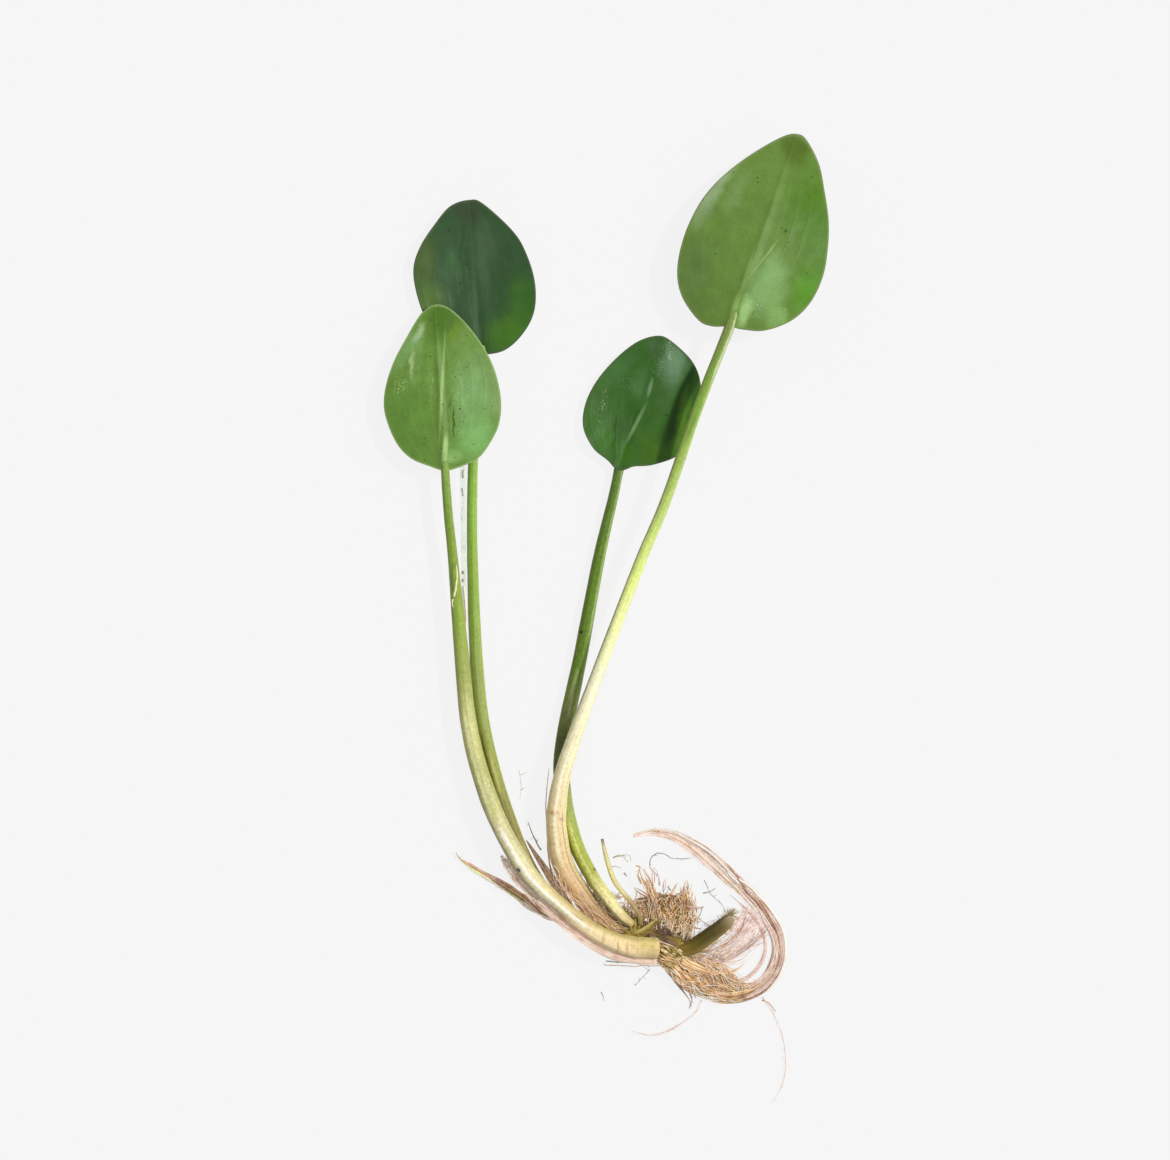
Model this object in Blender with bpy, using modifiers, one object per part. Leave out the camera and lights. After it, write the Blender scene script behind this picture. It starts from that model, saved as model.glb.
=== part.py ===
"""An american frogbit plant, lifted out whole and laid on a table.

Four long-stalked leaves, the short crown that they grow from, the stub of a runner, withered
leaf bases, a tuft of fine fibres and a loop of long roots. Lengths below are in millimetres.
The plant lies on Z = 0. +Y runs from the roots to the leaf tips and +X to the taller leaf.
"""

import math
from dataclasses import dataclass

import bmesh
import bpy
import numpy as np
from mathutils import Vector

MM = 0.001
CLEARANCE = 0.35
CURVE_STEPS = 8

BLADE_THICKNESS = 0.8
BLADE_GRID = 11
BLADE_CENTRE = 0.42

PETIOLE_SIDES = 3
PETIOLE_STEPS = 2
ROOT_SIDES = 2
ROOT_SPACING = 2.9

TUFT_CENTRE = (18.0, -88.0, 3.7)
TUFT_SIZE = (8.6, 5.4, 3.4)
TUFT_TILT = -14.0
TUFT_LUMP = 0.09
TUFT_DETAIL = 4

SHEATH_THICKNESS = 0.5
SHEATH_GRID = 8


@dataclass(frozen=True)
class Finish:
    """A surface's colour, roughness and metallic value."""

    name: str
    colour: tuple
    roughness: float
    metallic: float = 0.0


@dataclass(frozen=True)
class Sheet:
    """A thin curved plate, such as a leaf blade, drawn from its base towards its tip.

    base is where the stalk joins it, and bearing is the tip's direction in degrees from +Y
    towards +X. outline holds (along, across) points, clockwise from the tip as seen from
    above. heights are the midrib's at the base, half way and the tip. edge_lift is how far
    the edge at the widest place stands above the midrib, and fold is the share of it that
    is a straight crease along the midrib.
    """

    base: tuple
    bearing: float
    outline: tuple
    heights: tuple
    edge_lift: float
    fold: float


FINISHES = {
    "blade_underside": Finish("blade_underside", (0.16, 0.33, 0.06), 0.42),
    "blade_face": Finish("blade_face", (0.035, 0.13, 0.03), 0.3),
    "petiole": Finish("petiole", (0.36, 0.47, 0.1), 0.45),
    "crown": Finish("crown", (0.36, 0.3, 0.1), 0.6),
    "runner": Finish("runner", (0.12, 0.13, 0.03), 0.75),
    "sheath": Finish("sheath", (0.45, 0.3, 0.17), 0.7),
    "root": Finish("root", (0.5, 0.28, 0.12), 0.65),
}

BLADES = {
    "blade_left_front": (
        "blade_underside",
        Sheet(
            base=(-48.0, 44.0),
            bearing=-3.8,
            outline=(
                (50.0, 0.0), (48.5, 4.5), (42.5, 10.0), (35.0, 14.5), (28.0, 17.0), (20.0, 18.0),
                (13.0, 17.0), (7.5, 14.0), (3.0, 10.0), (1.0, 5.0), (0.0, 0.0), (1.8, -5.0),
                (4.5, -10.2), (9.5, -14.2), (18.0, -16.9), (25.0, -16.5), (33.0, -13.6),
                (40.0, -9.4), (47.5, -4.2),
            ),
            heights=(8.5, 9.6, 5.3),
            edge_lift=-3.0,
            fold=0.4,
        ),
    ),
    "blade_left_back": (
        "blade_face",
        Sheet(
            base=(-37.2, 79.0),
            bearing=-4.4,
            outline=(
                (46.5, 0.0), (45.0, 4.0), (36.5, 12.0), (29.5, 15.6), (20.5, 17.6), (12.0, 16.8),
                (5.5, 13.0), (0.8, 7.0), (0.0, 0.0), (1.0, -6.5), (5.5, -12.5), (12.0, -16.0),
                (20.5, -18.2), (27.5, -18.4), (33.5, -16.0), (39.5, -11.5), (45.0, -6.0),
            ),
            heights=(2.8, 0.5, 5.0),
            edge_lift=3.6,
            fold=0.35,
        ),
    ),
    "blade_right_front": (
        "blade_underside",
        Sheet(
            base=(37.0, 87.0),
            bearing=19.4,
            outline=(
                (62.0, 0.0), (61.4, 3.2), (55.5, 9.2), (48.0, 13.5), (40.0, 17.5), (32.0, 20.0),
                (23.5, 21.4), (15.0, 20.5), (8.0, 17.0), (2.5, 10.5), (0.5, 4.0), (0.0, 0.0),
                (-1.6, -5.0), (-1.1, -9.5), (3.8, -16.3), (10.5, -20.2), (20.0, -21.7),
                (30.0, -21.0), (38.0, -18.7), (46.0, -14.5), (54.0, -8.8), (60.0, -3.5),
            ),
            heights=(11.5, 13.2, 0.5),
            edge_lift=-3.6,
            fold=0.3,
        ),
    ),
    "blade_right_back": (
        "blade_face",
        Sheet(
            base=(4.4, 45.7),
            bearing=16.3,
            outline=(
                (40.5, 0.0), (40.0, 4.5), (36.0, 12.0), (30.5, 16.2), (23.0, 18.0), (15.0, 18.2),
                (8.0, 16.0), (3.0, 9.5), (1.0, 4.0), (0.0, 0.0), (0.6, -3.5), (2.7, -9.2),
                (7.8, -13.8), (14.5, -15.2), (22.0, -14.0), (30.0, -10.5), (37.0, -5.5),
            ),
            heights=(3.4, 0.55, 4.6),
            edge_lift=3.2,
            fold=0.4,
        ),
    ),
}

# Each petiole's points are (x, y, z, radius), from the crown out to its blade
PETIOLES = {
    "petiole_left_front": (
        (15.3, -99.0, 8.4, 3.2), (8.0, -98.5, 8.6, 3.1), (0.5, -96.0, 9.0, 2.6),
        (-6.0, -92.0, 9.2, 2.3), (-13.5, -86.0, 9.2, 2.2), (-23.5, -76.0, 8.8, 2.6),
        (-33.5, -58.0, 7.3, 2.7), (-40.5, -35.0, 6.2, 2.6), (-43.5, -8.0, 6.1, 2.3),
        (-45.5, 17.0, 7.0, 1.7), (-47.0, 30.5, 7.8, 1.5), (-48.0, 43.3, 8.5, 1.45),
    ),
    "petiole_left_back": (
        (17.5, -102.0, 3.6, 2.0), (13.0, -102.2, 2.9, 2.1), (2.0, -100.5, 2.3, 2.3),
        (-10.0, -92.5, 2.3, 2.3), (-21.0, -79.0, 2.4, 2.4), (-29.0, -61.5, 2.4, 2.4),
        (-36.0, -37.5, 2.3, 2.3), (-38.7, -15.0, 2.0, 2.0), (-40.0, 17.5, 1.6, 1.6),
        (-40.0, 41.5, 1.6, 1.5), (-39.0, 62.0, 1.9, 1.5), (-37.3, 78.4, 2.8, 1.45),
    ),
    "petiole_right_front": (
        (10.0, -95.5, 3.4, 2.0), (5.0, -94.0, 3.2, 2.7), (-1.0, -91.0, 3.1, 3.0),
        (-7.5, -83.0, 3.3, 3.1), (-12.5, -74.5, 4.4, 3.2), (-14.5, -65.0, 6.4, 3.1),
        (-14.5, -57.0, 8.0, 2.9), (-12.0, -44.0, 9.0, 2.4), (-3.0, -18.5, 9.4, 1.9),
        (10.5, 17.0, 10.0, 1.7), (18.0, 35.0, 10.4, 1.6), (27.5, 62.5, 11.2, 1.5),
        (34.5, 80.5, 11.5, 1.5), (36.4, 85.6, 11.5, 1.6),
    ),
    "petiole_right_back": (
        (8.0, -92.0, 7.6, 1.2), (4.5, -89.0, 7.3, 1.6), (0.0, -83.5, 6.2, 1.9),
        (-4.6, -77.0, 4.6, 2.1), (-9.4, -67.0, 2.8, 2.25), (-12.6, -53.5, 2.4, 2.4),
        (-12.8, -38.5, 2.4, 2.4), (-7.5, -11.5, 2.2, 2.1), (-2.0, 17.5, 2.0, 1.8),
        (2.3, 36.0, 2.5, 1.5), (4.2, 45.0, 3.4, 1.55),
    ),
}

CROWN = (
    (7.0, -93.2, 5.0, 1.3), (9.0, -94.0, 5.0, 2.1), (13.0, -95.5, 5.0, 2.7),
    (17.5, -97.3, 5.2, 3.1), (21.6, -98.9, 5.4, 3.1),
)
RUNNER_STUB = (
    (23.2, -99.7, 5.6, 2.2), (26.0, -98.8, 5.8, 2.3), (28.5, -97.2, 6.0, 2.3), (31.5, -95.0, 6.6, 2.3),
    (34.5, -92.8, 7.2, 2.2), (36.8, -90.7, 7.6, 1.9), (37.9, -89.6, 7.7, 1.2),
)
YOUNG_SHOOT = (
    (-1.0, -66.5, 6.4, 0.45), (0.5, -73.0, 7.0, 0.7), (3.0, -79.5, 8.0, 0.75),
    (7.5, -85.0, 9.0, 0.75), (10.2, -89.5, 8.4, 0.75), (10.5, -91.9, 7.6, 0.75),
)
WITHERED_PETIOLE = (
    (-45.0, -70.8, 0.8, 0.4), (-43.0, -73.3, 0.9, 0.6), (-35.0, -78.3, 1.1, 0.9),
    (-27.0, -83.3, 1.2, 1.1), (-18.2, -89.6, 1.2, 1.1),
)

SHEATHS = {
    "sheath_left": Sheet(
        base=(-17.0, -87.7),
        bearing=-42.2,
        outline=((22.8, 0.0), (17.0, 1.4), (9.0, 1.8), (1.0, 1.2), (0.0, -1.0), (6.0, -2.8), (15.0, -2.6)),
        heights=(6.0, 6.0, 5.0),
        edge_lift=-0.8,
        fold=0.0,
    ),
    "sheath_middle": Sheet(
        base=(-9.4, -88.2),
        bearing=-34.0,
        outline=((26.0, 0.0), (17.0, 0.8), (8.0, 1.1), (1.0, 0.7), (1.0, -0.8), (8.0, -1.5), (17.0, -1.0)),
        heights=(6.5, 6.0, 4.0),
        edge_lift=0.3,
        fold=0.0,
    ),
}

# Each root's points are (x, y, z, radius), from the crown to its tip
ROOTS = {
    "root_1": (
        (19.6, -102.1, 3.3, 0.9), (22.0, -106.8, 1.6, 0.9), (26.5, -111.5, 0.9, 0.9),
        (32.5, -114.2, 0.9, 0.9), (39.0, -115.0, 0.9, 0.9), (45.5, -113.0, 0.9, 0.9),
        (50.5, -108.8, 0.9, 0.9), (53.0, -103.0, 0.9, 0.9), (53.0, -96.5, 0.9, 0.9),
        (50.0, -89.8, 0.9, 0.85), (45.5, -84.0, 0.9, 0.8), (39.5, -78.0, 0.9, 0.8),
        (33.0, -72.3, 0.9, 0.75), (27.0, -67.8, 0.9, 0.7), (20.5, -64.6, 0.8, 0.6),
        (14.0, -64.0, 0.7, 0.5), (9.5, -65.5, 0.6, 0.3),
    ),
    "root_2": (
        (22.0, -102.9, 4.2, 0.75), (26.5, -107.6, 1.4, 0.75), (32.5, -111.5, 0.8, 0.75),
        (39.0, -112.6, 0.8, 0.75), (44.7, -110.7, 0.8, 0.75), (48.7, -106.8, 0.8, 0.7),
        (50.7, -101.5, 0.8, 0.7), (50.3, -96.0, 0.8, 0.7), (47.3, -90.3, 0.8, 0.7),
        (42.8, -84.8, 0.8, 0.65), (36.5, -78.6, 0.8, 0.6), (30.5, -73.6, 0.7, 0.5),
        (25.5, -70.5, 0.6, 0.35),
    ),
    "root_3": (
        (24.0, -102.5, 3.4, 0.7), (30.0, -107.0, 1.3, 0.7), (35.5, -109.8, 0.8, 0.7),
        (41.0, -109.4, 0.8, 0.65), (45.5, -106.0, 0.8, 0.6), (48.0, -101.0, 0.8, 0.6),
        (47.8, -95.8, 0.8, 0.6), (45.2, -91.0, 0.8, 0.55), (41.5, -86.8, 0.7, 0.45),
        (37.5, -83.5, 0.6, 0.3),
    ),
    "root_4": (
        (25.9, -101.9, 4.2, 0.65), (30.5, -103.2, 3.4, 0.65), (34.8, -103.2, 3.0, 0.6),
        (39.0, -101.5, 2.8, 0.6), (43.0, -98.7, 2.7, 0.6), (46.8, -95.5, 2.6, 0.5),
        (49.5, -92.5, 2.6, 0.35),
    ),
    "root_5": (
        (22.9, -102.9, 6.3, 0.65), (28.5, -105.6, 4.6, 0.65), (33.7, -107.0, 2.8, 0.6),
        (38.5, -106.6, 1.6, 0.5), (42.0, -104.2, 1.2, 0.35),
    ),
    "root_6": (
        (18.8, -102.2, 6.4, 0.7), (23.5, -107.8, 4.2, 0.7), (30.0, -112.0, 2.6, 0.7),
        (36.5, -113.8, 2.5, 0.65), (43.0, -112.8, 2.5, 0.55), (48.0, -109.6, 2.5, 0.35),
    ),
    "root_7": (
        (18.1, -104.1, 1.4, 0.5), (20.5, -108.8, 0.8, 0.5), (23.5, -112.5, 0.6, 0.4),
        (25.5, -115.5, 0.5, 0.35), (25.2, -118.0, 0.4, 0.25),
    ),
    "root_8": (
        (26.6, -100.4, 2.7, 0.6), (32.0, -100.0, 1.6, 0.6), (36.5, -98.0, 1.2, 0.55),
        (40.5, -94.0, 1.0, 0.5), (42.5, -89.5, 0.8, 0.35),
    ),
}

STRAY_ROOTS = {
    "root_stray_left": (
        (29.0, -115.2, 0.5, 0.3), (27.5, -118.5, 0.4, 0.3), (24.0, -121.5, 0.4, 0.28),
        (18.5, -124.6, 0.4, 0.28), (13.5, -125.8, 0.4, 0.25), (8.0, -124.6, 0.4, 0.2),
    ),
    "root_stray_right": (
        (47.2, -114.4, 0.5, 0.3), (50.0, -118.5, 0.4, 0.3), (53.0, -125.5, 0.4, 0.28),
        (54.2, -133.0, 0.4, 0.28), (53.5, -140.0, 0.4, 0.25), (50.8, -145.6, 0.4, 0.2),
    ),
}

# Tips of the stiff fibres that stand out of the tuft
TUFT_SPIKES = (
    (10.3, -74.3, 5.4), (12.2, -78.2, 4.0), (14.6, -74.8, 6.4), (17.8, -78.4, 5.0),
    (21.5, -79.6, 4.4), (24.9, -81.2, 5.2), (25.9, -85.4, 3.6), (29.6, -86.8, 4.4), (8.6, -81.0, 3.0),
    (27.2, -91.6, 4.6),
)


def empty_scene():
    """Remove every object that the file opened with."""
    for thing in list(bpy.data.objects):
        bpy.data.objects.remove(thing, do_unlink=True)


def make_collection(name):
    """Return a new collection that the scene shows."""
    collection = bpy.data.collections.new(name)
    bpy.context.scene.collection.children.link(collection)
    return collection


def make_materials():
    """Return the materials by finish name."""
    materials = {}
    for key, finish in FINISHES.items():
        material = bpy.data.materials.new(finish.name)
        material.use_nodes = True
        shader = material.node_tree.nodes["Principled BSDF"]
        shader.inputs["Base Color"].default_value = (*finish.colour, 1.0)
        shader.inputs["Roughness"].default_value = finish.roughness
        shader.inputs["Metallic"].default_value = finish.metallic
        materials[key] = material
    return materials


def add_mesh_object(name, mesh, collection, material):
    """Return an object that shows the mesh, smooth shaded."""
    thing = bpy.data.objects.new(name, mesh)
    mesh.materials.clear()
    mesh.materials.append(material)
    mesh.shade_smooth()
    collection.objects.link(thing)
    return thing


def smooth_route(points, spacing):
    """Return (x, y, z, radius) samples of a Catmull-Rom curve through the points, evenly spaced."""
    knots = np.array(points, dtype=float)
    padded = np.vstack([2 * knots[0] - knots[1], knots, 2 * knots[-1] - knots[-2]])
    dense = []
    for a, b, c, d in zip(padded, padded[1:], padded[2:], padded[3:]):
        for t in np.linspace(0.0, 1.0, CURVE_STEPS, endpoint=False):
            dense.append(catmull_rom(a, b, c, d, t))
    dense.append(knots[-1])
    dense = np.array(dense)
    steps = np.linalg.norm(np.diff(dense[:, :3], axis=0), axis=1)
    run = np.concatenate([[0.0], np.cumsum(steps)])
    stations = np.linspace(0.0, run[-1], max(3, round(run[-1] / spacing) + 1))
    return [[float(np.interp(s, run, dense[:, axis])) for axis in range(4)] for s in stations]


def catmull_rom(a, b, c, d, t):
    """Return the point at t between b and c on a smooth curve through all four points."""
    return 0.5 * (2 * b + (c - a) * t + (2 * a - 5 * b + 4 * c - d) * t**2 + (3 * b - a - 3 * c + d) * t**3)


def grown(points, extra):
    """Return the stem's points with every radius and both ends reaching further by extra."""
    first, second, before, last = (Vector(points[i][:3]) for i in (0, 1, -2, -1))
    start = first + (first - second).normalized() * extra
    end = last + (last - before).normalized() * extra
    places = [start, *(Vector(point[:3]) for point in points[1:-1]), end]
    return [(*place, point[3] + extra) for place, point in zip(places, points)]


def make_stem(name, points, collection, material):
    """Return a curve object for a fleshy stem: a Bezier through the points, with their radii."""
    curve = bpy.data.curves.new(name, "CURVE")
    curve.dimensions = "3D"
    curve.bevel_depth = MM
    curve.bevel_resolution = PETIOLE_SIDES
    curve.resolution_u = PETIOLE_STEPS
    curve.render_resolution_u = 0
    curve.use_fill_caps = True
    spline = curve.splines.new("BEZIER")
    spline.bezier_points.add(len(points) - 1)
    for knot, (x, y, z, radius) in zip(spline.bezier_points, points):
        knot.co = Vector((x, y, z)) * MM
        knot.radius = radius
        knot.handle_left_type = "AUTO"
        knot.handle_right_type = "AUTO"
    curve.materials.append(material)
    stem = bpy.data.objects.new(name, curve)
    collection.objects.link(stem)
    return stem


def make_root(name, points, spacing, collection, material):
    """Return a curve object for a thin root: straight runs between samples of a smooth route."""
    samples = smooth_route(points, spacing)
    curve = bpy.data.curves.new(name, "CURVE")
    curve.dimensions = "3D"
    curve.bevel_depth = MM
    curve.bevel_resolution = ROOT_SIDES
    curve.render_resolution_u = 0
    curve.use_fill_caps = True
    spline = curve.splines.new("POLY")
    spline.points.add(len(samples) - 1)
    for knot, (x, y, z, radius) in zip(spline.points, samples):
        knot.co = (x * MM, y * MM, z * MM, 1.0)
        knot.radius = radius
    curve.materials.append(material)
    root = bpy.data.objects.new(name, curve)
    collection.objects.link(root)
    return root


def curve_to_mesh(stem):
    """Replace a curve object by a mesh object of the same name, its caps welded."""
    bpy.context.view_layer.update()
    graph = bpy.context.evaluated_depsgraph_get()
    mesh = bpy.data.meshes.new_from_object(stem.evaluated_get(graph))
    shape = bmesh.new()
    shape.from_mesh(mesh)
    bmesh.ops.remove_doubles(shape, verts=shape.verts, dist=0.01 * MM)
    bmesh.ops.recalc_face_normals(shape, faces=shape.faces)
    shape.to_mesh(mesh)
    shape.free()
    name = stem.name
    material = stem.data.materials[0]
    collection = stem.users_collection[0]
    place = stem.matrix_world.copy()
    bpy.data.objects.remove(stem, do_unlink=True)
    solid = add_mesh_object(name, mesh, collection, material)
    solid.matrix_world = place
    return solid


def clasp(piece, cutter):
    """Hollow the piece where the cutter lies, as a leaf base clasps the crown."""
    cut = piece.modifiers.new("clasp", "BOOLEAN")
    cut.operation = "DIFFERENCE"
    cut.object = cutter


def outline_radius(outline, centre):
    """Return a function from angle to the distance of the closed smooth outline from (centre, 0)."""
    knots = np.array(outline, dtype=float)
    count = len(knots)
    dense = []
    for i in range(count):
        a, b, c, d = (knots[(i + k) % count] for k in (-1, 0, 1, 2))
        for t in np.linspace(0.0, 1.0, CURVE_STEPS, endpoint=False):
            dense.append(catmull_rom(a, b, c, d, t))
    offsets = np.array(dense) - np.array([centre, 0.0])
    angles = np.arctan2(offsets[:, 1], offsets[:, 0])
    radii = np.hypot(offsets[:, 0], offsets[:, 1])
    order = np.argsort(angles)
    angles, radii = angles[order], radii[order]
    return lambda angle: float(np.interp(angle, angles, radii, period=2 * math.pi))


def sheet_height(sheet, along, across):
    """Return the height of the sheet's middle surface at a point of its flat plan."""
    length = max(point[0] for point in sheet.outline)
    half_width = max(abs(point[1]) for point in sheet.outline)
    low, middle, high = sheet.heights
    t = along / length
    bend = low * (1 - t) * (1 - 2 * t) + middle * 4 * t * (1 - t) + high * t * (2 * t - 1)
    side = abs(across) / half_width
    return bend + sheet.edge_lift * (sheet.fold * side + (1 - sheet.fold) * side**2)


def make_sheet(name, sheet, grid, thickness, collection, material):
    """Return a thin solid plate with the sheet's outline and bend."""
    length = max(point[0] for point in sheet.outline)
    centre = BLADE_CENTRE * length
    reach = outline_radius(sheet.outline, centre)
    bearing = math.radians(sheet.bearing)
    ahead = Vector((math.sin(bearing), math.cos(bearing)))
    right = Vector((math.cos(bearing), -math.sin(bearing)))
    shape = bmesh.new()
    bmesh.ops.create_grid(shape, x_segments=grid, y_segments=grid, size=1.0)
    for vert in shape.verts:
        u, v = vert.co.x, vert.co.y
        disc = Vector((u * math.sqrt(1 - v * v / 2), v * math.sqrt(1 - u * u / 2)))
        angle = math.atan2(disc.y, disc.x)
        distance = disc.length * reach(angle)
        along = centre + distance * math.cos(angle)
        across = distance * math.sin(angle)
        place = Vector(sheet.base) + ahead * along + right * across
        vert.co = Vector((place.x, place.y, sheet_height(sheet, along, across))) * MM
    bmesh.ops.recalc_face_normals(shape, faces=shape.faces)
    mesh = bpy.data.meshes.new(name)
    shape.to_mesh(mesh)
    shape.free()
    plate = add_mesh_object(name, mesh, collection, material)
    wall = plate.modifiers.new("thickness", "SOLIDIFY")
    wall.thickness = thickness * MM
    wall.offset = 0.0
    return plate


def make_tuft(collection, material):
    """Return the tuft of fine fibres: a lumpy cushion with stiff fibres that stand out of it."""
    centre = Vector(TUFT_CENTRE)
    tilt = math.radians(TUFT_TILT)
    shape = bmesh.new()
    bmesh.ops.create_icosphere(shape, subdivisions=TUFT_DETAIL, radius=1.0)
    for vert in shape.verts:
        ball = vert.co.copy()
        lump = 1 + TUFT_LUMP * math.sin(9 * ball.x + 2) * math.cos(8 * ball.y + 5 * ball.z)
        wide, deep, high = (ball[i] * TUFT_SIZE[i] * lump for i in range(3))
        x = wide * math.cos(tilt) - deep * math.sin(tilt)
        y = wide * math.sin(tilt) + deep * math.cos(tilt)
        vert.co = centre + Vector((x, y, high))
    for tip in TUFT_SPIKES:
        aim = (Vector(tip) - centre).normalized()
        root = max(shape.verts, key=lambda vert: (vert.co - centre).normalized().dot(aim))
        root.co = Vector(tip)
    bmesh.ops.scale(shape, verts=shape.verts, vec=(MM, MM, MM))
    bmesh.ops.recalc_face_normals(shape, faces=shape.faces)
    mesh = bpy.data.meshes.new("root_tuft")
    shape.to_mesh(mesh)
    shape.free()
    return add_mesh_object("root_tuft", mesh, collection, material)


def build():
    """Build the whole plant."""
    empty_scene()
    plant = make_collection("american_frogbit")
    cutters = make_collection("cutters")
    materials = make_materials()

    make_stem("crown", CROWN, plant, materials["crown"])
    seat = curve_to_mesh(make_stem("crown_seat", grown(CROWN, CLEARANCE), cutters, materials["crown"]))
    seat.hide_render = True
    seat.display_type = "WIRE"

    for name, points in PETIOLES.items():
        petiole = curve_to_mesh(make_stem(name, points, plant, materials["petiole"]))
        clasp(petiole, seat)
    for name, (finish, sheet) in BLADES.items():
        make_sheet(name, sheet, BLADE_GRID, BLADE_THICKNESS, plant, materials[finish])

    make_stem("stolon_stub", RUNNER_STUB, plant, materials["runner"])
    make_stem("young_shoot", YOUNG_SHOOT, plant, materials["petiole"])
    make_stem("withered_petiole", WITHERED_PETIOLE, plant, materials["sheath"])
    for name, sheet in SHEATHS.items():
        make_sheet(name, sheet, SHEATH_GRID, SHEATH_THICKNESS, plant, materials["sheath"])

    make_tuft(plant, materials["root"])
    for name, points in {**ROOTS, **STRAY_ROOTS}.items():
        make_root(name, points, ROOT_SPACING, plant, materials["root"])


build()
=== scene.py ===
"""American frogbit, uprooted and laid on a pale table.

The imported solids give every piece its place. This script dresses them: veined leaves, ribbed
stalks, the crown with its runner stub and withered sheaths, and the loop of fibrous roots.
Lengths are in millimetres, and +Y runs from the roots to the leaf tips.
"""

from __future__ import annotations

import logging
import math
from dataclasses import dataclass
from enum import IntEnum
from typing import Callable, Sequence

import bmesh
import bpy
import numpy as np
from mathutils import Matrix, Vector
from mathutils.noise import noise, noise_vector


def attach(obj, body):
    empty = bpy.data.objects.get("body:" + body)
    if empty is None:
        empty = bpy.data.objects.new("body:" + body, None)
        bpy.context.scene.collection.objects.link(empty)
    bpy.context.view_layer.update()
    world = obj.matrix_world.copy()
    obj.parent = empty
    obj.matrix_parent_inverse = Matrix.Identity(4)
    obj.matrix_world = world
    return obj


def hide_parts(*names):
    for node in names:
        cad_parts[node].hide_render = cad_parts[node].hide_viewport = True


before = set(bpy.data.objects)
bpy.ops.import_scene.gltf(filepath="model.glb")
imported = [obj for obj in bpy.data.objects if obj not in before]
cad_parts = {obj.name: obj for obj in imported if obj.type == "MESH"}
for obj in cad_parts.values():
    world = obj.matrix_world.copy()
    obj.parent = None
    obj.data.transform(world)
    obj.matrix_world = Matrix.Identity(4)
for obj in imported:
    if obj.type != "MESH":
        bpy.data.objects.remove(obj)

MM = 0.001
LOG = logging.getLogger("frogbit")

Colour = tuple[float, float, float]
Point = tuple[float, ...]


def tone(red: float, green: float, blue: float) -> tuple[float, float, float, float]:
    """Return the shader's colour for a screen colour of 0 to 255.

    Args:
        red: The red part.
        green: The green part.
        blue: The blue part.

    Returns:
        The linear colour with an alpha of 1.
    """
    parts = [part / 255 for part in (red, green, blue)]
    linear = [part / 12.92 if part <= 0.04045 else ((part + 0.055) / 1.055) ** 2.4 for part in parts]
    return (*linear, 1.0)


# ---------------------------------------------------------------- camera


@dataclass(frozen=True)
class Lens:
    """The camera straight above the plant, and where the points of its picture lie.

    The picture is width by height points, and pitch is what one of them covers on the plane
    at level. centre is the place under the middle of the picture.
    """

    width: float = 1170.0
    height: float = 1160.0
    pitch: float = 0.3
    centre: tuple[float, float] = (-6.15, 11.25)
    level: float = 6.0
    distance: float = 1500.0
    film: float = 36.0

    def at(self, column: float, row: float, height: float = 0.0) -> Vector:
        """Return the place that the picture shows at a column and row, at that height."""
        nearer = self.pitch * (self.distance - height + self.level) / self.distance
        x = (column - self.width / 2) * nearer + self.centre[0]
        y = (self.height / 2 - row) * nearer + self.centre[1]
        return Vector((x, y, height))

    def make(self) -> None:
        """Add the camera and make it the scene's own."""
        data = bpy.data.cameras.new("camera")
        data.sensor_width = self.film
        data.lens = self.film * self.distance / (self.width * self.pitch)
        data.clip_end = 20.0
        camera = bpy.data.objects.new("camera", data)
        camera.location = Vector((*self.centre, self.level + self.distance)) * MM
        bpy.context.scene.collection.objects.link(camera)
        bpy.context.scene.camera = camera


LENS = Lens()


# ---------------------------------------------------------------- shader maths


class Signal:
    """A number that varies over a surface. Maths on it adds Math nodes."""

    def __init__(self, board: Board, socket: bpy.types.NodeSocket) -> None:
        """Wrap an output socket of a board."""
        self.board = board
        self.socket = socket

    def __add__(self, other: Signal | float) -> Signal:
        """Return self + other."""
        return self.board.math("ADD", self, other)

    def __sub__(self, other: Signal | float) -> Signal:
        """Return self - other."""
        return self.board.math("SUBTRACT", self, other)

    def __rsub__(self, other: float) -> Signal:
        """Return other - self."""
        return self.board.math("SUBTRACT", other, self)

    def __mul__(self, other: Signal | float) -> Signal:
        """Return self * other."""
        return self.board.math("MULTIPLY", self, other)

    def __truediv__(self, other: Signal | float) -> Signal:
        """Return self / other."""
        return self.board.math("DIVIDE", self, other)

    def __rtruediv__(self, other: float) -> Signal:
        """Return other / self."""
        return self.board.math("DIVIDE", other, self)

    def __abs__(self) -> Signal:
        """Return the size of self."""
        return self.board.math("ABSOLUTE", self)

    __radd__ = __add__
    __rmul__ = __mul__


Level = Signal | float


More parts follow.
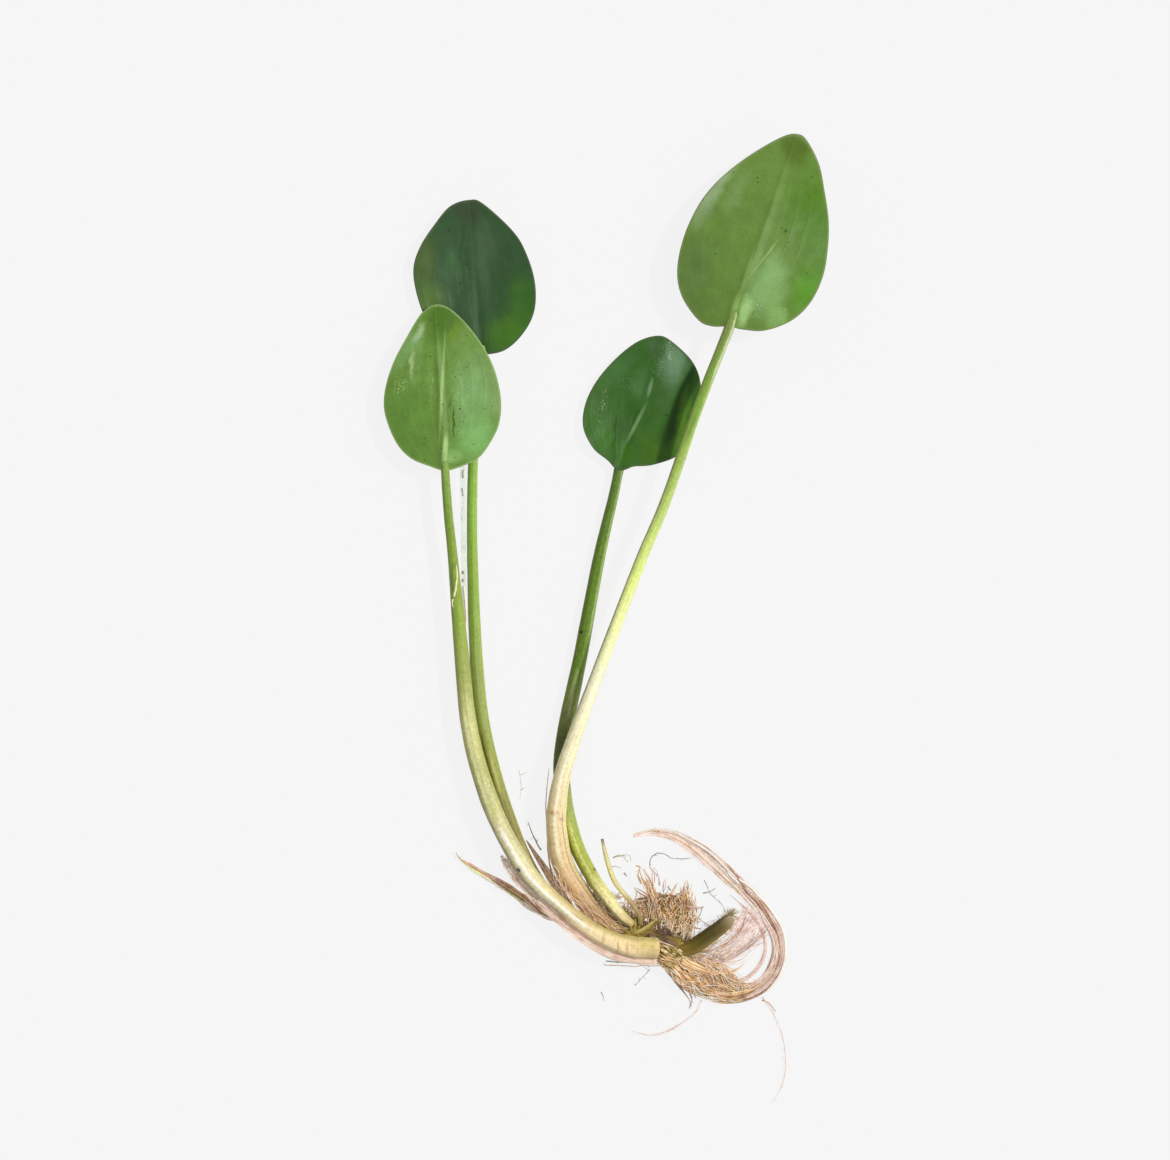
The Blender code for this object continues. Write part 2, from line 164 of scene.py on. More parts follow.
class Board:
    """The nodes of one material, around its Principled shader."""

    def __init__(self, name: str, roughness: float, specular: float = 0.5) -> None:
        """Make the material, with its constant roughness and specular level."""
        self.material = bpy.data.materials.new(name)
        self.material.use_nodes = True
        self.tree = self.material.node_tree
        self.shader = self.tree.nodes["Principled BSDF"]
        self.shader.inputs["Roughness"].default_value = roughness
        self.shader.inputs["Specular IOR Level"].default_value = specular

    def node(self, kind: str, settings: dict | None = None, inputs: dict | None = None) -> bpy.types.Node:
        """Add a node.

        Args:
            kind: The node's type.
            settings: Values of its own, set first. stops fills a colour ramp.
            inputs: A value or a link for each socket, by name or number.

        Returns:
            The node.
        """
        made = self.tree.nodes.new(kind)
        for key, value in (settings or {}).items():
            if key == "stops":
                ramp = made.color_ramp.elements
                while len(ramp) < len(value):
                    ramp.new(0.5)
                for stop, (position, colour) in zip(ramp, value):
                    stop.position = position
                    stop.color = colour
            else:
                setattr(made, key, value)
        for key, value in (inputs or {}).items():
            self.feed(made.inputs[key], value)
        return made

    def feed(self, socket: bpy.types.NodeSocket, value: object) -> None:
        """Link a socket to a signal or an output, or set its value."""
        source = value.socket if isinstance(value, Signal) else value
        if isinstance(source, bpy.types.NodeSocket):
            self.tree.links.new(source, socket)
        else:
            socket.default_value = source

    def glow(self, weight: float) -> None:
        """Let some light through just below the surface."""
        self.shader.inputs["Subsurface Weight"].default_value = weight
        self.shader.inputs["Subsurface Radius"].default_value = (1.0, 0.8, 0.5)
        self.shader.inputs["Subsurface Scale"].default_value = 1.5 * MM

    def dress(self, **channels: object) -> None:
        """Feed the shader's sockets, named with _ for a space."""
        for name, value in channels.items():
            self.feed(self.shader.inputs[name.replace("_", " ")], value)

    def math(self, operation: str, *values: Level) -> Signal:
        """Return the result of a Math node."""
        return Signal(self, self.node("ShaderNodeMath", {"operation": operation}, dict(enumerate(values))).outputs[0])

    def vector(self, operation: str, inputs: dict, output: int = 0) -> bpy.types.NodeSocket:
        """Return the result of a Vector Math node."""
        return self.node("ShaderNodeVectorMath", {"operation": operation}, inputs).outputs[output]

    def place(self) -> bpy.types.NodeSocket:
        """Return the Object coordinates in millimetres."""
        where = self.node("ShaderNodeTexCoord").outputs["Object"]
        return self.vector("SCALE", {0: where, "Scale": 1 / MM})

    def attribute(self, name: str) -> tuple[bpy.types.NodeSocket, list[Signal]]:
        """Return a vector attribute of the piece, whole and as its three parts."""
        whole = self.node("ShaderNodeAttribute", {"attribute_name": name}).outputs["Vector"]
        parts = self.node("ShaderNodeSeparateXYZ", None, {0: whole}).outputs
        return whole, [Signal(self, part) for part in parts]

    def smooth(self, value: Level, low: float, high: float) -> Signal:
        """Return a soft step of the value from 0 at low to 1 at high, which may be the lower one."""
        settings = {"interpolation_type": "SMOOTHSTEP"}
        step = self.node("ShaderNodeMapRange", settings, {"Value": value, "From Min": low, "From Max": high})
        return Signal(self, step.outputs["Result"])

    def noise(self, where: bpy.types.NodeSocket, scale: float, detail: float = 2.0, warp: float = 0.0) -> Signal:
        """Return noise from 0 to 1 over a vector."""
        inputs = {"Vector": where, "Scale": scale, "Detail": detail, "Distortion": warp}
        return Signal(self, self.node("ShaderNodeTexNoise", None, inputs).outputs["Fac"])

    def wander(self, where: bpy.types.NodeSocket, scale: float, reach: float) -> bpy.types.NodeSocket:
        """Return the vector pushed to and fro by noise, so that edges over it are uneven."""
        push = self.node("ShaderNodeTexNoise", None, {"Vector": where, "Scale": scale, "Detail": 3.0})
        off = self.vector("SUBTRACT", {0: push.outputs["Color"], 1: (0.5, 0.5, 0.5)})
        return self.vector("MULTIPLY_ADD", {0: off, 1: (reach, reach, 0.0), 2: where})

    def mix(self, under: object, over: object, share: Level, blend: str = "MIX") -> bpy.types.NodeSocket:
        """Return one colour over another by a share."""
        settings = {"data_type": "RGBA", "blend_type": blend, "clamp_factor": True}
        return self.node("ShaderNodeMix", settings, {0: share, 6: under, 7: over}).outputs[2]

    def shade(self, colour: object, strength: Level) -> bpy.types.NodeSocket:
        """Return a colour made lighter or darker."""
        return self.vector("SCALE", {0: colour, "Scale": strength})

    def ramp(self, value: Level, stops: Sequence) -> bpy.types.NodeSocket:
        """Return the colour of a ramp at the value."""
        return self.node("ShaderNodeValToRGB", {"stops": stops}, {0: value}).outputs["Color"]

    def bump(self, height: Level, depth: float) -> bpy.types.NodeSocket:
        """Return the normal of a surface with that relief, depth millimetres deep."""
        inputs = {"Height": height, "Distance": depth * MM, "Strength": 1.0}
        return self.node("ShaderNodeBump", None, inputs).outputs["Normal"]


@dataclass(frozen=True)
class Patch:
    """A soft-edged area of another colour, at a place of the picture.

    reach is its half length and half width in points of the picture, and turn is the angle
    of its length from the picture's columns towards the right, in degrees. A crisp patch
    keeps its even edge, and the fleck scale breaks it up into flecks, that many to the millimetre.
    Besides the own colour zones of a leaf or stalk, patches paint sheen, highlights and shadow, and the
    pale flecks of sheen patches are painted glints.
    """

    column: float
    row: float
    reach: tuple[float, float]
    turn: float
    colour: Colour
    strength: float = 1.0
    soft: float = 0.8
    crisp: bool = False
    fleck_scale: float = 0.0

    def paint(self, board: Board, where: bpy.types.NodeSocket, under: object) -> bpy.types.NodeSocket:
        """Return the colour under the patch with the patch over it."""
        middle = LENS.at(self.column, self.row)
        settings = {"vector_type": "TEXTURE"}
        inputs = {
            "Vector": where,
            "Location": (middle.x, middle.y, 0.0),
            "Rotation": (0.0, 0.0, -math.radians(self.turn)),
            "Scale": (self.reach[1] * LENS.pitch, self.reach[0] * LENS.pitch, 1e4),
        }
        offset = board.node("ShaderNodeMapping", settings, inputs).outputs[0]
        inside = Signal(board, board.vector("LENGTH", {0: offset}, 1))
        cover = board.smooth(inside, 1.0, 1.0 - self.soft) * self.strength
        # flecks: on the pale sheen patches these are painted glints
        if self.fleck_scale:
            cover = cover * board.smooth(board.noise(where, self.fleck_scale, 2.0), 0.56, 0.66)
        return board.mix(under, tone(*self.colour), cover)


# ---------------------------------------------------------------- finishes


@dataclass(frozen=True)
class LeafFinish:
    """The skin of one side of a leaf: its green, veins, specks and rim.

    veins is how far the veins differ in colour, gap the angle between them, and specks the
    share of places with a dark dot.
    """

    name: str
    green: Colour
    vein: Colour
    rim: Colour
    veins: float = 0.05
    gap: float = 0.23
    specks: float = 0.1
    wrinkles: float = 0.35
    mottle: float = 0.22
    roughness: float = 0.42
    specular: float = 0.22
    # colour zones: the leaf's own blotches, and also painted sheen, painted glints and painted shadow
    patches: tuple[Patch, ...] = ()

    def material(self) -> bpy.types.Material:
        """Return the material."""
        board = Board(self.name, self.roughness, self.specular)
        place = board.place()
        uneven = board.wander(place, 0.16, 5.0)
        whole, (fan, ladder, edge) = board.attribute("leaf")
        blotch = board.noise(place, 0.22, 4.0)
        grain = board.noise(place, 1.6, 3.0)
        colour = tone(*self.green)
        for patch in self.patches:
            colour = patch.paint(board, place if patch.crisp else uneven, colour)
        strands = board.math("PINGPONG", fan + (blotch - 0.5) * 0.05, self.gap / 2)
        main = board.smooth(strands, self.gap * 0.16, 0.0)
        rungs = board.math("PINGPONG", ladder + (board.noise(place, 0.5, 1.0) - 0.5) * 0.3, 0.06)
        cross = board.smooth(rungs, 0.012, 0.0) * board.smooth(blotch, 0.42, 0.6) * 0.4
        net = board.math("MAXIMUM", main, cross)
        colour = board.mix(colour, tone(*self.vein), net * self.veins)
        mesh = board.vector("MULTIPLY", {0: whole, 1: (11.0, 9.0, 0.0)})
        lines = board.node("ShaderNodeTexVoronoi", {"feature": "DISTANCE_TO_EDGE"}, {"Vector": mesh, "Scale": 1.0})
        wrinkles = board.smooth(Signal(board, lines.outputs["Distance"]), 0.07, 0.0) * board.smooth(grain, 0.42, 0.62)
        colour = board.mix(colour, board.shade(colour, 0.66), wrinkles * self.wrinkles)
        value = 1.0 + (blotch - 0.5) * self.mottle * 2 + (grain - 0.5) * self.mottle
        colour = board.shade(colour, value)
        cells = board.node("ShaderNodeTexVoronoi", None, {"Vector": place, "Scale": 0.55})
        dots = board.smooth(Signal(board, cells.outputs["Distance"]), 0.2, 0.1)
        pick = Signal(board, board.node("ShaderNodeSeparateXYZ", None, {0: cells.outputs["Color"]}).outputs[0])
        dots = dots * board.smooth(pick, self.specks + 0.02, self.specks) * board.smooth(grain, 0.35, 0.5)
        colour = board.mix(colour, tone(*(part * 0.45 for part in self.green)), dots * 0.8)
        colour = board.mix(colour, tone(*self.rim), board.smooth(edge + (grain - 0.5) * 0.03, 0.965, 0.995) * 0.75)
        relief = net * 0.15 + grain * 0.12 + blotch
        board.dress(
            Base_Color=colour,
            Roughness=self.roughness + (grain - 0.5) * 0.15 + dots * 0.2,
            Normal=board.bump(relief, 0.16),
        )
        return board.material


@dataclass(frozen=True)
class Streak:
    """A pale or dark line along a stalk, from first to last of its length, at a place across it. Several are painted
    highlights along the top and painted shade along an edge.
    """

    first: float
    last: float
    across: float
    width: float
    colour: Colour
    strength: float = 0.8


@dataclass(frozen=True)
class StalkFinish:
    """The skin of a stalk: its colours along it, with painted shade and light on its edges, lines and dashes.

    stops holds (share of the length from the crown, colour), and left and right hold the
    (colour, strength) that its edges fade to: painted shade and painted light across the stalk.
    """

    name: str
    stops: tuple[tuple[float, Colour], ...]
    # edge tints: painted shade and painted light
    left: tuple[Colour, float] = ((84, 100, 40), 0.35)
    right: tuple[Colour, float] = ((184, 200, 110), 0.3)
    streaks: tuple[Streak, ...] = ()
    patches: tuple[Patch, ...] = ()
    roughness: float = 0.42
    specular: float = 0.26
    bands: float = 0.1
    fibres: float = 0.22
    speckle: float = 0.25
    mottle: float = 0.25
    ticks: float = 0.25
    depth: float = 0.16

    def material(self) -> bpy.types.Material:
        """Return the material."""
        board = Board(self.name, self.roughness, self.specular)
        board.glow(0.35)
        place = board.place()
        whole, (across, up, run) = board.attribute("stalk")
        share = Signal(board, board.node("ShaderNodeAttribute", {"attribute_name": "stalk_share"}).outputs["Fac"])
        drift = share + (board.noise(place, 0.35, 3.0) - 0.5) * 0.03
        colour = board.ramp(drift, [(position, tone(*shown)) for position, shown in self.stops])
        # painted shade and light: each edge fades to its tint, as the key light falls across the stalk
        for sign, (edge, strength) in ((-1, self.left), (1, self.right)):
            colour = board.mix(colour, tone(*edge), board.smooth(across, 0.25 * sign, 0.95 * sign) * strength)
        for patch in self.patches:
            colour = patch.paint(board, place, colour)
        stretched = board.vector("MULTIPLY", {0: whole, 1: (3.2, 3.2, 0.05)})
        lines = board.noise(stretched, 1.0, 4.0)
        squeezed = board.vector("MULTIPLY", {0: whole, 1: (0.5, 0.5, 1.1)})
        rings = board.noise(squeezed, 1.0, 3.0)
        grain = board.noise(place, 1.8, 3.0)
        # streaks, on the upper half only: several are painted highlights, and the dark edge lines are painted shade
        for streak in self.streaks:
            inside = board.smooth(abs(across - streak.across + (rings - 0.5) * 0.25), streak.width, streak.width * 0.35)
            ends = board.smooth(share, streak.first, streak.first + 0.03) * board.smooth(share, streak.last, streak.last - 0.03)
            colour = board.mix(colour, tone(*streak.colour), inside * ends * board.smooth(up, -0.1, 0.1) * streak.strength)
        dashes = board.noise(board.vector("MULTIPLY", {0: whole, 1: (7.0, 7.0, 0.8)}), 1.0, 2.0)
        colour = board.mix(colour, board.shade(colour, 0.55), board.smooth(dashes, 0.54, 0.66) * self.speckle)
        colour = board.mix(colour, board.shade(colour, 1.5), board.smooth(dashes, 0.44, 0.34) * self.speckle)
        spots = board.noise(place, 1.0, 4.0)
        colour = board.mix(colour, board.shade(colour, 0.68), board.smooth(spots, 0.54, 0.68) * self.mottle)
        colour = board.mix(colour, board.shade(colour, 1.3), board.smooth(spots, 0.44, 0.3) * self.mottle)
        marks = board.noise(board.vector("MULTIPLY", {0: whole, 1: (1.3, 1.3, 3.6)}), 1.0, 2.0)
        colour = board.mix(colour, board.shade(colour, 0.7), board.smooth(marks, 0.56, 0.66) * self.ticks)
        value = 1.06 + (lines - 0.5) * self.fibres * 2 + (rings - 0.5) * self.bands * 2 + (grain - 0.5) * 0.12
        board.dress(
            Base_Color=board.shade(colour, value),
            Roughness=self.roughness + (lines - 0.5) * 0.3,
            Normal=board.bump(lines + rings * 0.3 + grain * 0.2, self.depth),
        )
        return board.material


@dataclass(frozen=True)
class FibreFinish:
    """The skin of fine roots and dry shreds: two colours in uneven patches."""

    name: str
    light: Colour
    dark: Colour
    cover: float = 1.0
    roughness: float = 0.55
    specular: float = 0.35

    def material(self) -> bpy.types.Material:
        """Return the material."""
        board = Board(self.name, self.roughness, self.specular)
        place = board.place()
        patches = board.noise(place, 0.45, 3.0)
        grain = board.noise(place, 2.6, 2.0)
        colour = board.mix(tone(*self.light), tone(*self.dark), board.smooth(patches + (grain - 0.5) * 0.35, 0.4, 0.66))
        board.dress(
            Base_Color=board.shade(colour, 0.85 + grain * 0.3),
            Roughness=self.roughness + (grain - 0.5) * 0.3,
            Alpha=self.cover,
            Normal=board.bump(grain, 0.08),
        )
        return board.material


@dataclass(frozen=True)
class FeltFinish:
    """Matted fibres: short strokes in three directions, light on the raised strokes and dark in the gaps, partly the
    fibres' own two colours and partly painted shade between them.
    """

    light: Colour
    dark: Colour

    def material(self) -> bpy.types.Material:
        """Return the material."""
        board = Board("felt", 0.8, 0.15)
        place = board.place()
        strokes = []
        for turn in (20, 75, -40):
            settings = {"vector_type": "TEXTURE"}
            inputs = {"Vector": place, "Rotation": (0.0, 0.0, math.radians(turn)), "Scale": (0.12, 1.4, 0.5)}
            strokes.append(board.noise(board.node("ShaderNodeMapping", settings, inputs).outputs[0], 0.6, 2.0, 0.3))
        height = board.math("MAXIMUM", board.math("MAXIMUM", strokes[0], strokes[1]), strokes[2])
        # dark where the strokes are low: partly the fibres' colour, partly painted shade in the gaps
        colour = board.mix(tone(*self.dark), tone(*self.light), board.smooth(height, 0.5, 0.68))
        board.dress(Base_Color=colour, Normal=board.bump(height, 0.5))
        return board.material


@dataclass(frozen=True)
class HuskFinish:
    """Dry papery skin: streaked lengthwise, and worn through in places."""

    name: str
    light: Colour
    dark: Colour
    holes: float = 0.3

    def material(self) -> bpy.types.Material:
        """Return the material."""
        board = Board(self.name, 0.65, 0.3)
        place = board.place()
        _, (fan, ladder, edge) = board.attribute("leaf")
        grain = board.noise(place, 1.2, 4.0)
        lines = board.math("PINGPONG", fan * 1.0 + (grain - 0.5) * 0.16, 0.06) / 0.06
        colour = board.mix(tone(*self.light), tone(*self.dark), board.smooth(lines * 0.5 + grain, 0.95, 0.45))
        solid = board.smooth(edge + (grain - 0.5) * 0.9 + self.holes - 0.3, 1.05, 0.85)
        board.dress(
            Base_Color=board.shade(colour, 0.8 + grain * 0.4),
            Alpha=solid * 0.85,
            Normal=board.bump(lines * 0.3 + grain, 0.12),
        )
        return board.material


@dataclass(frozen=True)
class FilmFinish:
    """See-through skin, streaked along its length. cover is how much of what is below it hides."""

    name: str
    light: Colour
    dark: Colour
    cover: float

    def material(self) -> bpy.types.Material:
        """Return the material."""
        board = Board(self.name, 0.6, 0.1)
        whole, (_, across, _) = board.attribute("film")
        lines = board.noise(board.vector("MULTIPLY", {0: whole, 1: (0.12, 5.0, 0.0)}), 1.0, 3.0)
        cloud = board.noise(board.place(), 0.5, 4.0)
        colour = board.mix(tone(*self.light), tone(*self.dark), board.smooth(lines + (cloud - 0.5) * 0.6, 0.5, 0.72))
        sides = board.smooth(across, 0.0, 0.2) * board.smooth(across, 1.0, 0.8)
        board.dress(
            Base_Color=colour,
            Alpha=sides * self.cover * (0.45 + lines * 0.5 + cloud * 0.6),
            Normal=board.bump(lines, 0.1),
        )
        return board.material


FELT = FeltFinish((214, 176, 128), (128, 98, 62))


class Tint(IntEnum):
    """The colours that fine roots and threads come in, by material slot."""

    CREAM = 0
    GOLD = 1
    ORANGE = 2
    BROWN = 3
    PINK = 4
    OLIVE = 5
    GREY = 6
    LEAFY = 7
    ROSE = 8
    UMBER = 9
    STRAW = 10
    FUZZ = 11


TINTS = {
    Tint.CREAM: FibreFinish("root_cream", (255, 250, 238), (250, 234, 208), 0.9),
    Tint.GOLD: FibreFinish("root_gold", (255, 232, 186), (244, 206, 150)),
    Tint.ORANGE: FibreFinish("root_orange", (240, 196, 144), (214, 164, 110)),
    Tint.BROWN: FibreFinish("root_brown", (190, 152, 122), (150, 118, 94)),
    Tint.PINK: FibreFinish("root_pink", (255, 236, 226), (246, 212, 198), 0.75),
    Tint.OLIVE: FibreFinish("root_olive", (160, 138, 66), (110, 92, 36)),
    Tint.GREY: FibreFinish("root_grey", (190, 184, 178), (146, 140, 136)),
    Tint.LEAFY: FibreFinish("root_leafy", (200, 182, 112), (160, 140, 76)),
    Tint.ROSE: FibreFinish("root_rose", (242, 212, 196), (214, 176, 158), 0.75),
    Tint.UMBER: FibreFinish("root_umber", (128, 102, 76), (86, 66, 46)),
    Tint.STRAW: FibreFinish("root_straw", (240, 240, 186), (216, 214, 146)),
    Tint.FUZZ: FibreFinish("root_fuzz", (255, 236, 220), (240, 204, 184), 0.5),
}


# ---------------------------------------------------------------- shared making


def keep(thing: bpy.types.Object, slot: str, *nodes: str) -> bpy.types.Object:
    """Ride a piece on the plant, in place of CAD nodes.

    Args:
        thing: The finished piece.
        slot: The record's material slot. Not used.
        *nodes: The CAD nodes that it stands for.

    Returns:
        The piece.
    """
    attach(thing, "root")
    if nodes:
        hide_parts(*nodes)
    LOG.info("%s: %d faces", thing.name, len(thing.data.polygons))
    return thing


def solid(
    name: str, shape: bmesh.types.BMesh, *materials: bpy.types.Material, upward: bool = False
) -> bpy.types.Object:
    """Return an object of a shape in millimetres, smooth shaded.

    Args:
        name: The piece's name.
        shape: The shape, which is freed.
        *materials: Its material slots.
        upward: Whether it is an open sheet whose front looks up.

    Returns:
        The object, at the origin.
    """
    bmesh.ops.scale(shape, verts=shape.verts, vec=(MM, MM, MM))
    bmesh.ops.recalc_face_normals(shape, faces=shape.faces)
    if upward and sum(face.normal.z for face in shape.faces) < 0:
        bmesh.ops.reverse_faces(shape, faces=shape.faces)
    mesh = bpy.data.meshes.new(name)
    shape.to_mesh(mesh)
    shape.free()
    for material in materials:
        mesh.materials.append(material)
    mesh.shade_smooth()
    thing = bpy.data.objects.new(name, mesh)
    bpy.context.scene.collection.objects.link(thing)
    return thing


def curve_through(points: Sequence[Point], spacing: float) -> np.ndarray:
    """Return evenly spaced samples of a smooth curve through points.

    Args:
        points: The points, whose first three numbers are their place.
        spacing: About how far apart the samples are.

    Returns:
        One row for each sample, with the points' numbers.
    """
    knots = np.array(points, dtype=float)
    padded = np.vstack([2 * knots[0] - knots[1], knots, 2 * knots[-1] - knots[-2]])
    dense = []
    for a, b, c, d in zip(padded, padded[1:], padded[2:], padded[3:]):
        for t in np.linspace(0.0, 1.0, 10, endpoint=False):
            dense.append(0.5 * (2 * b + (c - a) * t + (2 * a - 5 * b + 4 * c - d) * t**2 + (3 * b - a - 3 * c + d) * t**3))
    dense.append(knots[-1])
    rows = np.array(dense)
    run = np.concatenate([[0.0], np.cumsum(np.linalg.norm(np.diff(rows[:, :3], axis=0), axis=1))])
    stations = np.linspace(0.0, run[-1], max(3, round(run[-1] / spacing) + 1))
    return np.column_stack([np.interp(stations, run, rows[:, column]) for column in range(rows.shape[1])])


def wrap(
    name: str,
    route: Sequence[Point],
    sides: int,
    spacing: float,
    material: bpy.types.Material,
    swell: Callable[[float, float], float],
) -> bpy.types.Object:
    """Return a stem with round ends: a grid wrapped round a smooth route.

    Args:
        name: The piece's name.
        route: Its (x, y, z, radius) points.
        sides: How many faces go round it.
        spacing: How far apart its rings are.
        material: Its material.
        swell: The factor on its radius, from the angle round it and the length run.

    Returns:
        The piece. Its attribute stalk holds the cosine and sine of the angle and the length
        run, and stalk_share the share of the length.
    """
    rows = curve_through(route, spacing)
    run = np.concatenate([[0.0], np.cumsum(np.linalg.norm(np.diff(rows[:, :3], axis=0), axis=1))])
    length = run[-1]
    aims = np.gradient(rows[:, :3], axis=0)
    aims /= np.linalg.norm(aims, axis=1)[:, None]
    rings = []
    for sign, index in ((-1, 0), (1, len(rows) - 1)):
        cap = []
        for turn in (0.3, 0.6, 0.85, 1.0):
            place = rows[index, :3] + sign * aims[index] * rows[index, 3] * math.sin(turn * math.pi / 2) * 0.35
            cap.append((place, aims[index], rows[index, 3] * math.cos(turn * math.pi / 2), run[index]))
        rings.append(cap)
    body = [(row[:3], aim, row[3], step) for row, aim, step in zip(rows, aims, run)]
    rings = rings[0][::-1] + body + rings[1]
    shape = bmesh.new()
    bmesh.ops.create_grid(shape, x_segments=sides, y_segments=len(rings) - 1, size=0.5)
    stalk = shape.verts.layers.float_vector.new("stalk")
    share = shape.verts.layers.float.new("stalk_share")
    for vert in shape.verts:
        angle = (vert.co.x + 0.5) * 2 * math.pi
        place, aim, radius, step = rings[round((vert.co.y + 0.5) * (len(rings) - 1))]
        ahead = Vector(aim)
        right = ahead.cross(Vector((0, 0, 1))).normalized()
        above = right.cross(ahead)
        reach = radius * swell(angle, step)
        vert[stalk] = Vector((math.cos(angle), math.sin(angle), step))
        vert[share] = step / length
        vert.co = Vector(place) + (right * math.cos(angle) + above * math.sin(angle)) * reach
    bmesh.ops.remove_doubles(shape, verts=shape.verts, dist=0.004)
    return solid(name, shape, material)


class Strands:
    """Thin round strands, gathered as one curve and then made one mesh."""

    def __init__(self, name: str, sides: int = 0) -> None:
        """Start an empty piece; sides is the roundness of its strands."""
        self.curve = bpy.data.curves.new(name, "CURVE")
        self.curve.dimensions = "3D"
        self.curve.bevel_depth = MM
        self.curve.bevel_resolution = sides
        self.curve.use_fill_caps = True
        for tint in Tint:
            self.curve.materials.append(bpy.data.materials[TINTS[tint].name])

    def add(self, points: Sequence[Sequence[float]], radii: Sequence[float], tint: Tint) -> None:
        """Add one strand.

        Args:
            points: The places along it.
            radii: Its radius at each.
            tint: Its colour.
        """
        spline = self.curve.splines.new("POLY")
        spline.points.add(len(points) - 1)
        spline.material_index = int(tint)
        for knot, place, radius in zip(spline.points, points, radii):
            knot.co = (place[0] * MM, place[1] * MM, max(place[2], radius) * MM, 1.0)
            knot.radius = radius

    def thread(self, route: Sequence[Point], width: tuple[float, float], tint: Tint, wobble: float = 0.0, seed: float = 0.0) -> None:
        """Add a strand on a smooth route, thinning from one radius to another, with a wobble."""
        rows = curve_through([point[:3] for point in route], 0.8)
        count = len(rows)
        radii = np.linspace(width[0], width[1], count)
        for i, row in enumerate(rows):
            push = noise_vector(Vector((row[0] * 0.4 + seed, row[1] * 0.4, seed * 3.1)))
            rows[i, :3] += np.array(push) * wobble * math.sin(math.pi * min(1.0, i / count * 1.6) / 2)
            radii[i] *= 1.0 + 0.25 * noise(Vector((i * 0.7, seed, 4.0)))
        self.add(rows, radii, tint)

    def piece(self) -> bpy.types.Object:
        """Return the mesh of all the strands."""
        name = self.curve.name
        holder = bpy.data.objects.new(name + "_curve", self.curve)
        bpy.context.scene.collection.objects.link(holder)
        bpy.context.view_layer.update()
        mesh = bpy.data.meshes.new_from_object(holder.evaluated_get(bpy.context.evaluated_depsgraph_get()))
        bpy.data.objects.remove(holder, do_unlink=True)
        shape = bmesh.new()
        shape.from_mesh(mesh)
        bmesh.ops.remove_doubles(shape, verts=shape.verts, dist=0.002 * MM)
        bmesh.ops.recalc_face_normals(shape, faces=shape.faces)
        shape.to_mesh(mesh)
        shape.free()
        mesh.name = name
        mesh.shade_smooth()
        thing = bpy.data.objects.new(name, mesh)
        bpy.context.scene.collection.objects.link(thing)
        return thing


# ---------------------------------------------------------------- leaves


@dataclass(frozen=True)
class Sheet:
    """A thin curved plate, drawn from its base towards its tip.

    bearing is the tip's direction in degrees from +Y towards +X, outline holds (along, across)
    points, clockwise from the tip as seen from above, and heights are the midrib's at the
    base, half way and the tip. edge_lift is how far the edge at the widest place stands above
    the midrib, and fold is the share of it that is a straight crease.
    """

    base: tuple[float, float]
    bearing: float
    outline: tuple[tuple[float, float], ...]
    heights: tuple[float, float, float]
    edge_lift: float
    fold: float

    @property
    def length(self) -> float:
        """Return how far the tip is from the base."""
        return max(point[0] for point in self.outline)

    def height(self, along: float, across: float) -> float:
        """Return the height of the middle surface."""
        low, middle, high = self.heights
        t = along / self.length
        bend = low * (1 - t) * (1 - 2 * t) + middle * 4 * t * (1 - t) + high * t * (2 * t - 1)
        side = abs(across) / max(abs(point[1]) for point in self.outline)
        return bend + self.edge_lift * (self.fold * side + (1 - self.fold) * side**2)

    def place(self, along: float, across: float, above: float = 0.0) -> Vector:
        """Return a point of the plate, or above it."""
        bearing = math.radians(self.bearing)
        x = self.base[0] + math.sin(bearing) * along + math.cos(bearing) * across
        y = self.base[1] + math.cos(bearing) * along - math.sin(bearing) * across
        return Vector((x, y, self.height(along, across) + above))

    def reach(self) -> Callable[[float], float]:
        """Return the distance of the smooth outline from the plate's centre, by angle."""
        knots = np.array(self.outline)
        dense = []
        for i in range(len(knots)):
            a, b, c, d = (knots[(i + k) % len(knots)] for k in (-1, 0, 1, 2))
            for t in np.linspace(0.0, 1.0, 12, endpoint=False):
                dense.append(0.5 * (2 * b + (c - a) * t + (2 * a - 5 * b + 4 * c - d) * t**2 + (3 * b - a - 3 * c + d) * t**3))
        offsets = np.array(dense) - np.array([0.42 * self.length, 0.0])
        angles = np.arctan2(offsets[:, 1], offsets[:, 0])
        order = np.argsort(angles)
        radii = np.hypot(offsets[:, 0], offsets[:, 1])[order]
        return lambda angle: float(np.interp(angle, angles[order], radii, period=2 * math.pi))

    def plate(self, name: str, grid: int, relief: Callable[[float, float, float], float]) -> bmesh.types.BMesh:
        """Return the plate's middle surface.

        Args:
            name: The piece's name. Not used.
            grid: How many faces cross it.
            relief: What is added to its height, from along, across and nearness to the edge.

        Returns:
            The shape. Its attribute leaf holds the angle of the vein through a point, its
            place along that vein, and its nearness to the edge.
        """
        reach = self.reach()
        centre = 0.42 * self.length
        shape = bmesh.new()
        bmesh.ops.create_grid(shape, x_segments=grid, y_segments=grid, size=1.0)
        leaf = shape.verts.layers.float_vector.new("leaf")
        weight = shape.verts.layers.deform.verify()
        for vert in shape.verts:
            u, v = vert.co.x, math.copysign(abs(vert.co.y) ** 1.25, vert.co.y)
            disc = Vector((u * math.sqrt(1 - v * v / 2), v * math.sqrt(1 - u * u / 2)))
            angle = math.atan2(disc.y, disc.x)
            distance = disc.length * reach(angle)
            along = centre + distance * math.cos(angle)
            across = distance * math.sin(angle)
            near, far = along / self.length + 0.05, 1.04 - along / self.length
            side = across / self.length
            fan = math.atan2(side, near) + math.atan2(side, far)
            ladder = math.log(math.hypot(near, side) / math.hypot(far, side))
            vert[leaf] = Vector((fan, ladder, disc.length))
            vert[weight][0] = 1.0 - disc.length**5
            vert.co = self.place(along, across, relief(along, across, disc.length))
        return shape


